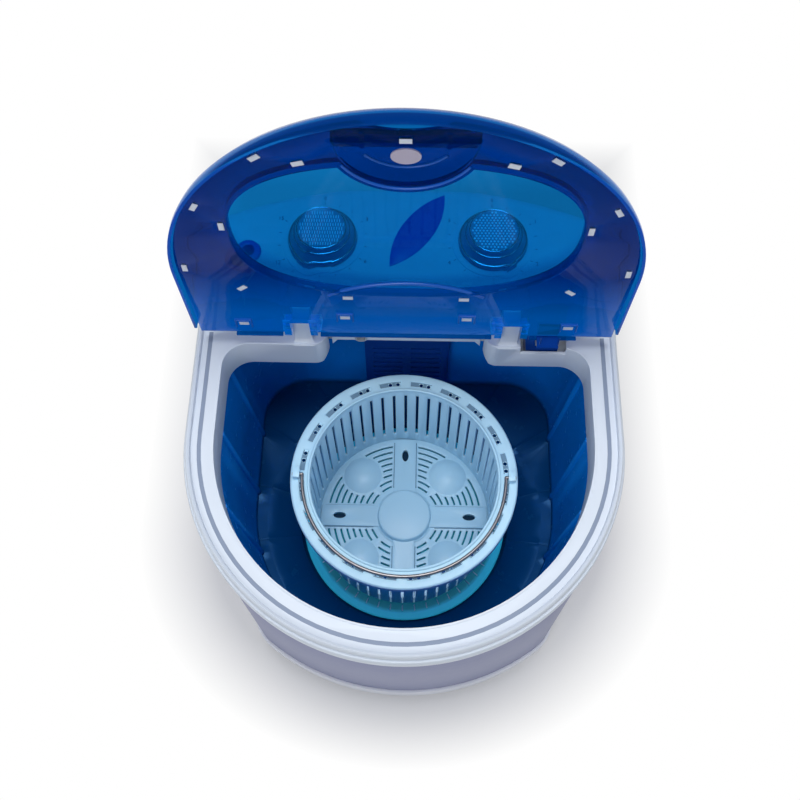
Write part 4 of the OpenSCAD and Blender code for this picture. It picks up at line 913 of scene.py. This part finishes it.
@dataclass(frozen=True)
class KnobTop:
    """Field of small raised marks on a knob's flat top, and the bright rings round the knob."""

    node: str
    body: str
    grip: Grip
    field_r: float = 19.2 * MM

    def build(self) -> bpy.types.Object:
        """Models the marks.

        Returns:
            The marks.
        """
        low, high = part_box(self.node)
        middle = (low + high) / 2
        top = high.z - 0.7 * MM
        if self.grip is Grip.STUDS:
            model, pitch, row = low_dome(1.0 * MM, 0.75 * MM), 3.1 * MM, 2.7 * MM
        else:
            model, pitch, row = rounded_bar(Vector((0.8, 3.2, 1.1)) * MM, 0.3 * MM), 2.2 * MM, 4.0 * MM
        rows = int(self.field_r / row) + 1
        columns = int(self.field_r / pitch) + 1
        places = []
        for i in range(-rows, rows + 1):
            for j in range(-columns, columns + 1):
                x = (j + 0.5 * (i % 2)) * pitch
                if math.hypot(x, i * row) < self.field_r:
                    places.append(moved(middle.x + x, middle.y + i * row, top))
        marks = repeated(model, places, self.body + "_marks")
        # The marks' finish glows: painted light.
        place_piece(marks, Finish.MARK, self.body, slot_of(self.node))
        self.trim(low, high)
        return marks

    def trim(self, low: Vector, high: Vector) -> bpy.types.Object:
        """Models the bright rings at the top's edge and round the flank.

        Args:
            low: Low corner of the knob's box.
            high: High corner of the knob's box.

        Returns:
            The rings.
        """
        middle = (low + high) / 2
        radius = high.x - middle.x
        rings = []
        for reach, height, wide in (
            (self.field_r + 2.2 * MM, high.z + 0.1 * MM, 1.5 * MM),
            (radius - 6.0 * MM, low.z + 12.2 * MM, 1.2 * MM),
            (radius - 1.6 * MM, low.z + 4.6 * MM, 2.0 * MM),
        ):
            rings.append(placed(swept_ring(reach, wide, wide), moved(middle.x, middle.y, height)))
        trim = joined_pieces(rings, self.body + "_trim")
        return place_piece(trim, Finish.TRIM, self.body, slot_of(self.node))


@dataclass
class Console:
    """Console with its panel, knobs and water inlet."""

    scales: tuple[Scale, ...] = (
        Scale("wash_scale", "wash_dial", ("0", "3", "6", "9", "12", "15"), 300),
        Scale("spin_scale", "spin_dial", ("0", "1", "2", "3", "4", "5"), 300),
    )
    tops: tuple[KnobTop, ...] = (
        KnobTop("wash_knob", "wash_knob", Grip.STREAKS),
        KnobTop("spin_knob", "spin_knob", Grip.STUDS),
    )

    def build(self) -> None:
        """Softens the housing and the knobs and dresses the rest."""
        softened("console_housing", "console_shell", Finish.FRAME, 1.0 * MM, 3)
        softened("control_panel", "panel_plate", Finish.PANEL, 0.3 * MM)
        softened("leaf_inlay", "leaf_plate", Finish.LEAF, 0.25 * MM)
        for node in ("wash_dial", "spin_dial"):
            dress(node, Finish.PANEL)
        softened("wash_knob", "wash_knob_cap", Finish.KNOB, 0.35 * MM, 3)
        softened("spin_knob", "spin_knob_cap", Finish.KNOB, 0.35 * MM, 3)
        softened("inlet_socket", "inlet_ring", Finish.LEAF, 0.4 * MM)
        for node in ("wash_timer", "spin_timer"):
            dress(node, Finish.DARK)
        for node in ("wash_timer_shaft", "spin_timer_shaft"):
            dress(node, Finish.STEEL)
        dress("inlet_pipe", Finish.PIPE)
        for part in (*self.scales, *self.tops):
            part.build()


@dataclass
class Tub:
    """Wash tub with its filter panel and the seams of its floor."""

    middle_y: float = -29 * MM
    spin_y: float = -36 * MM
    floor_z: float = 300 * MM
    floor_r: float = 150 * MM
    floor_rear: float = 141 * MM
    floor_corner: float = 47 * MM
    dish_r: float = 139 * MM
    facets: int = 16

    def build(self) -> None:
        """Softens the tub and models its seams and the panel's edge."""
        softened(("wash_tub", "tub_floor"), "tub_shell", Finish.TUB, 0.5 * MM, flat=0)
        softened("filter_panel", "filter_cover", Finish.NAVY, 0.4 * MM, flat=0)
        dress("tub_seal", Finish.RUBBER)
        self.seams()
        self.panel_edge()

    def reach(self, turn: float) -> float:
        """Distance from the spin axis to the tub's wall at the floor.

        Args:
            turn: Direction, in degrees.

        Returns:
            The distance, in metres.
        """
        ahead = Vector((math.cos(math.radians(turn)), math.sin(math.radians(turn))))
        start = Vector((0, self.spin_y - self.middle_y))
        far = self.dish_r
        while self.inside(start + ahead * (far + 1 * MM)) and far < 2 * self.floor_r:
            far += 1 * MM
        return far

    def inside(self, point: Vector) -> bool:
        """Whether a point, given from the front half circle's centre, is on the floor."""
        if point.y < 0:
            return point.length < self.floor_r
        side, rear = self.floor_r - self.floor_corner, self.floor_rear - self.floor_corner
        if abs(point.x) > side and point.y > rear:
            return math.hypot(abs(point.x) - side, point.y - rear) < self.floor_corner
        return abs(point.x) < self.floor_r and point.y < self.floor_rear

    def seams(self) -> None:
        """Carries the seams between the floor's facets out to the wall."""
        bars = []
        for i in range(self.facets):
            turn = (i + 0.5) * 360 / self.facets
            reach = self.reach(turn)
            length = reach - self.dish_r + 1 * MM
            if length < 3 * MM:
                continue
            bar = rounded_bar(Vector((length, 2.4 * MM, 0.8 * MM)), 0.25 * MM)
            bars.append(placed(
                bar, moved(0, self.spin_y, self.floor_z + 0.2 * MM), turned(turn),
                moved(self.dish_r - 1 * MM + length / 2, 0, 0),
            ))
        place_piece(joined_pieces(bars, "floor_seams"), Finish.TUB, "machine", slot_of("tub_floor"))

    def panel_edge(self) -> None:
        """Models the bead along the filter panel's right edge."""
        low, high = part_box("filter_panel")
        foot = Vector((high.x + 0.6 * MM, high.y - 8 * MM, low.z))
        top = Vector((high.x + 0.6 * MM, high.y + 1 * MM, high.z - 2 * MM))
        along = top - foot
        bead = rounded_bar(Vector((1.6 * MM, 1.6 * MM, along.length)), 0.6 * MM)
        lean = Vector((0, 0, 1)).rotation_difference(along).to_matrix().to_4x4()
        placed(bead, Matrix.Translation((foot + top) / 2), lean)
        bead.name = "panel_bead"
        place_piece(bead, Finish.TUB, "machine", slot_of("wash_tub"))


@dataclass
class Basket:
    """Spin basket, its bail and the pulsator."""

    spin_y: float = -36 * MM
    rim_z: float = 415 * MM
    floor_z: float = 291 * MM
    floor_t: float = 3 * MM
    spoke_side: float = 11.5 * MM
    hole_shade_at: float = 66 * MM
    wall_r: float = 87.5 * MM
    pockets: int = 20
    pocket_r: float = 93.3 * MM
    pocket_sweep: float = 13.0
    slots: int = 48

    def build(self) -> None:
        """Softens the basket and the pulsator, and models the basket's fine parts, with its painted shade and
        painted light, and the pulsator's ribs.
        """
        softened("basket_wall", "basket_shell", Finish.BASKET, 0.3 * MM)
        softened("basket_floor", "basket_base", Finish.BASKET, 0.35 * MM, flat=0)
        softened("basket_rim", "basket_ring", Finish.BASKET, 0.35 * MM, flat=0)
        softened("bail_clips", "bail_lugs", Finish.BASKET, 0.4 * MM)
        dress("bail_handle", Finish.WIRE)
        softened("pulsator", "pulsator_disc", Finish.PULSATOR, 0.5 * MM)
        dress("pulsator_cap", Finish.BASKET)
        self.pocket_shade_floors()
        self.hole_shade_plates()
        self.spoke_shade_lines()
        self.slot_light_lines()
        self.ring_ribs()

    def around(self, turn: float, height: float) -> Matrix:
        """Place on the spin axis, turned to a direction."""
        return moved(0, self.spin_y, height) @ turned(turn)

    def pocket_shade_floors(self) -> None:
        """Models grey floors of painted shade in the rim's pockets, between and beside their holes."""
        step = 360 / self.pockets
        half = self.pocket_sweep / 2 - 0.4
        parts = []
        for side in (-1.95 * MM, 1.95 * MM):
            parts.append(swept_ring(self.pocket_r + side, 0.7 * MM, 0.3 * MM, -half, 2 * half))
        for start, sweep in ((-3.1, 1.9), (1.2, 4.9)):
            parts.append(swept_ring(self.pocket_r, 3.4 * MM, 0.3 * MM, start, sweep))
        model = joined_pieces(parts, "pocket_model")
        places = [self.around((i + 0.5) * step, self.rim_z - 1.1 * MM) for i in range(self.pockets)]
        floors = repeated(model, places, "pocket_shade_floors")
        place_piece(floors, Finish.POCKET, "basket", slot_of("basket_rim"))

    def hole_shade_plates(self) -> None:
        """Models dark plates of painted shade under the holes in the spokes."""
        model = rounded_bar(Vector((12.4, 6.0, 0.8)) * MM, 0.3 * MM)
        places = [
            self.around(turn, self.floor_z + 0.6 * MM) @ moved(self.hole_shade_at, 0, 0) for turn in (0, 90, 180)
        ]
        place_piece(repeated(model, places, "hole_shade_plates"), Finish.WELL, "basket", slot_of("basket_floor"))

    def spoke_shade_lines(self) -> None:
        """Models lines of painted shade at the feet of the floor's spokes."""
        model = rounded_bar(Vector((50.0, 0.9, 0.4)) * MM, 0.15 * MM)
        top = self.floor_z + self.floor_t + 0.1 * MM
        places = [
            self.around(turn, top) @ moved(56 * MM, side, 0)
            for turn in range(0, 360, 90)
            for side in (-self.spoke_side, self.spoke_side)
        ]
        place_piece(repeated(model, places, "spoke_shade_lines"), Finish.POCKET, "basket", slot_of("basket_floor"))

    def slot_light_lines(self) -> None:
        """Carries the wall's slots down to its foot as shallow pale ribs that glow, painted light that stands
        in for light shining through the slots.
        """
        model = rounded_bar(Vector((0.5, 1.3, 19.0)) * MM, 0.12 * MM)
        places = [
            self.around(i * 360 / self.slots, self.floor_z + 10 * MM) @ moved(self.wall_r + 0.05 * MM, 0, 0)
            for i in range(self.slots)
        ]
        place_piece(repeated(model, places, "slot_light_lines"), Finish.SLOT, "basket", slot_of("basket_wall"))

    def ring_ribs(self) -> None:
        """Models the short radial ribs of the pulsator round the basket's foot."""
        model = rounded_bar(Vector((6.0, 1.2, 0.6)) * MM, 0.15 * MM)
        top = self.floor_z - 5.2 * MM
        places = [
            self.around(i * 360 / self.slots, top) @ moved(self.wall_r + 3.8 * MM, 0, 0)
            for i in range(self.slots)
        ]
        place_piece(repeated(model, places, "ring_ribs"), Finish.BASKET, "pulsator", slot_of("pulsator"))


@dataclass
class Lid:
    """Clear lid with its inner frame. Heights are above the rim of the machine."""

    rim_z: float = 500 * MM
    grip_z: float = 269 * MM
    brow_r: float = 110 * MM
    brow_top: float = 102 * MM
    clip_rows: tuple[tuple[float, float], ...] = (
        (-50 * MM, 46 * MM), (50 * MM, 46 * MM), (-135 * MM, 34 * MM), (135 * MM, 34 * MM),
    )

    def build(self) -> None:
        """Softens the clear mouldings, dresses the clips and models the ribs."""
        softened("lid_cover", "lid_shell", Finish.LID, 0.6 * MM, 3)
        softened("lid_frame", "lid_inner", Finish.LID_DEEP, 0.4 * MM, 2, flat=0)
        dress("lid_clips", Finish.CLIP)
        dress("grip_pad", Finish.PAD)
        dress("lid_tongue", Finish.NAVY)
        self.grip_arcs()
        self.window_brow()
        self.clip_pockets()
        self.tongue_ribs()

    def face_y(self) -> float:
        """Place of the inner frame's front face, with the lid open."""
        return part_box("lid_clips")[0].y + 0.4 * MM

    def upright(self, x: float, height: float, out: float = 0.0) -> Matrix:
        """Place on the open lid's face, turned so that a flat piece stands against it.

        Args:
            x: Distance to the right of the middle.
            height: Height above the rim.
            out: Distance in front of the face.

        Returns:
            The place.
        """
        return moved(x, self.face_y() - out, self.rim_z + height) @ Matrix.Rotation(math.pi / 2, 4, "X")

    def grip_arcs(self) -> None:
        """Models the two nested ribs round the finger grip."""
        arcs = []
        for radius, sweep, out in ((48 * MM, 118, 0.4 * MM), (36 * MM, 96, -8 * MM)):
            arc = swept_ring(radius, 1.6 * MM, 2.0 * MM, 270 - sweep / 2, sweep)
            arcs.append(placed(arc, self.upright(0, self.grip_z, out)))
        # Opaque blue on the clear ribs: painted highlight.
        place_piece(joined_pieces(arcs, "grip_arcs"), Finish.GLINT, "lid", slot_of("lid_frame"))

    def window_brow(self) -> None:
        """Models the arched rib that crosses the foot of the window."""
        half = 62 * MM
        sweep = 2 * math.degrees(math.asin(half / self.brow_r))
        arc = swept_ring(self.brow_r - 1.5 * MM, 3 * MM, 3.4 * MM, 90 - sweep / 2, sweep)
        placed(arc, self.upright(0, self.brow_top - self.brow_r, -0.6 * MM))
        arc.name = "window_brow"
        # Opaque blue on the clear rib: painted highlight.
        place_piece(arc, Finish.GLINT, "lid", slot_of("lid_frame"))

    def clip_pockets(self) -> None:
        """Models the low walls round the clips beside the hinge."""
        walls = []
        for x, height in self.clip_rows:
            for across, up, wide, tall in ((-6.5, 2, 1.2, 12), (6.5, 2, 1.2, 12), (0, 7.6, 14, 1.2)):
                bar = rounded_bar(Vector((wide, tall, 2.4)) * MM, 0.3 * MM)
                walls.append(placed(bar, self.upright(x + across * MM, height + up * MM, 0.8 * MM)))
        # Opaque blue on the clear walls: painted highlight.
        place_piece(joined_pieces(walls, "clip_pockets"), Finish.GLINT, "lid", slot_of("lid_frame"))

    def tongue_ribs(self) -> None:
        """Models the upright ribs on the upper half of the tongue's front, clear of the switch."""
        low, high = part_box("lid_tongue")
        middle = (low + high) / 2
        tall = high.z - low.z
        bars = []
        for across in (-7.4 * MM, 7.4 * MM):
            bar = rounded_bar(Vector((1.4 * MM, 1.2 * MM, tall / 2)), 0.4 * MM)
            bars.append(placed(bar, moved(middle.x + across, low.y - 0.2 * MM, middle.z + tall / 8)))
        place_piece(joined_pieces(bars, "tongue_ribs"), Finish.NAVY, "lid", slot_of("lid_tongue"))


@dataclass
class Drive:
    """Motor, belt and bearings under the tub."""

    def build(self) -> None:
        """Dresses the drive."""
        for node in ("motor", "bearing_housing", "motor_pulley", "drive_pulley"):
            dress(node, Finish.CAST)
        for node in ("bearings", "motor_shaft", "spin_shaft", "pulley_nut", "frame_bolts"):
            dress(node, Finish.STEEL)
        dress("drive_frame", Finish.PAINTED)
        dress("capacitor", Finish.PIPE)
        for node in ("drive_belt", "motor_mounts"):
            dress(node, Finish.RUBBER)


def main() -> None:
    """Builds the studio and the machine."""
    logging.basicConfig(level=logging.INFO, format="%(message)s")
    Studio().build()
    for part in (Shell(), Frame(), Console(), Tub(), Basket(), Lid(), Drive()):
        part.build()


if __name__ == "__main__":
    main()
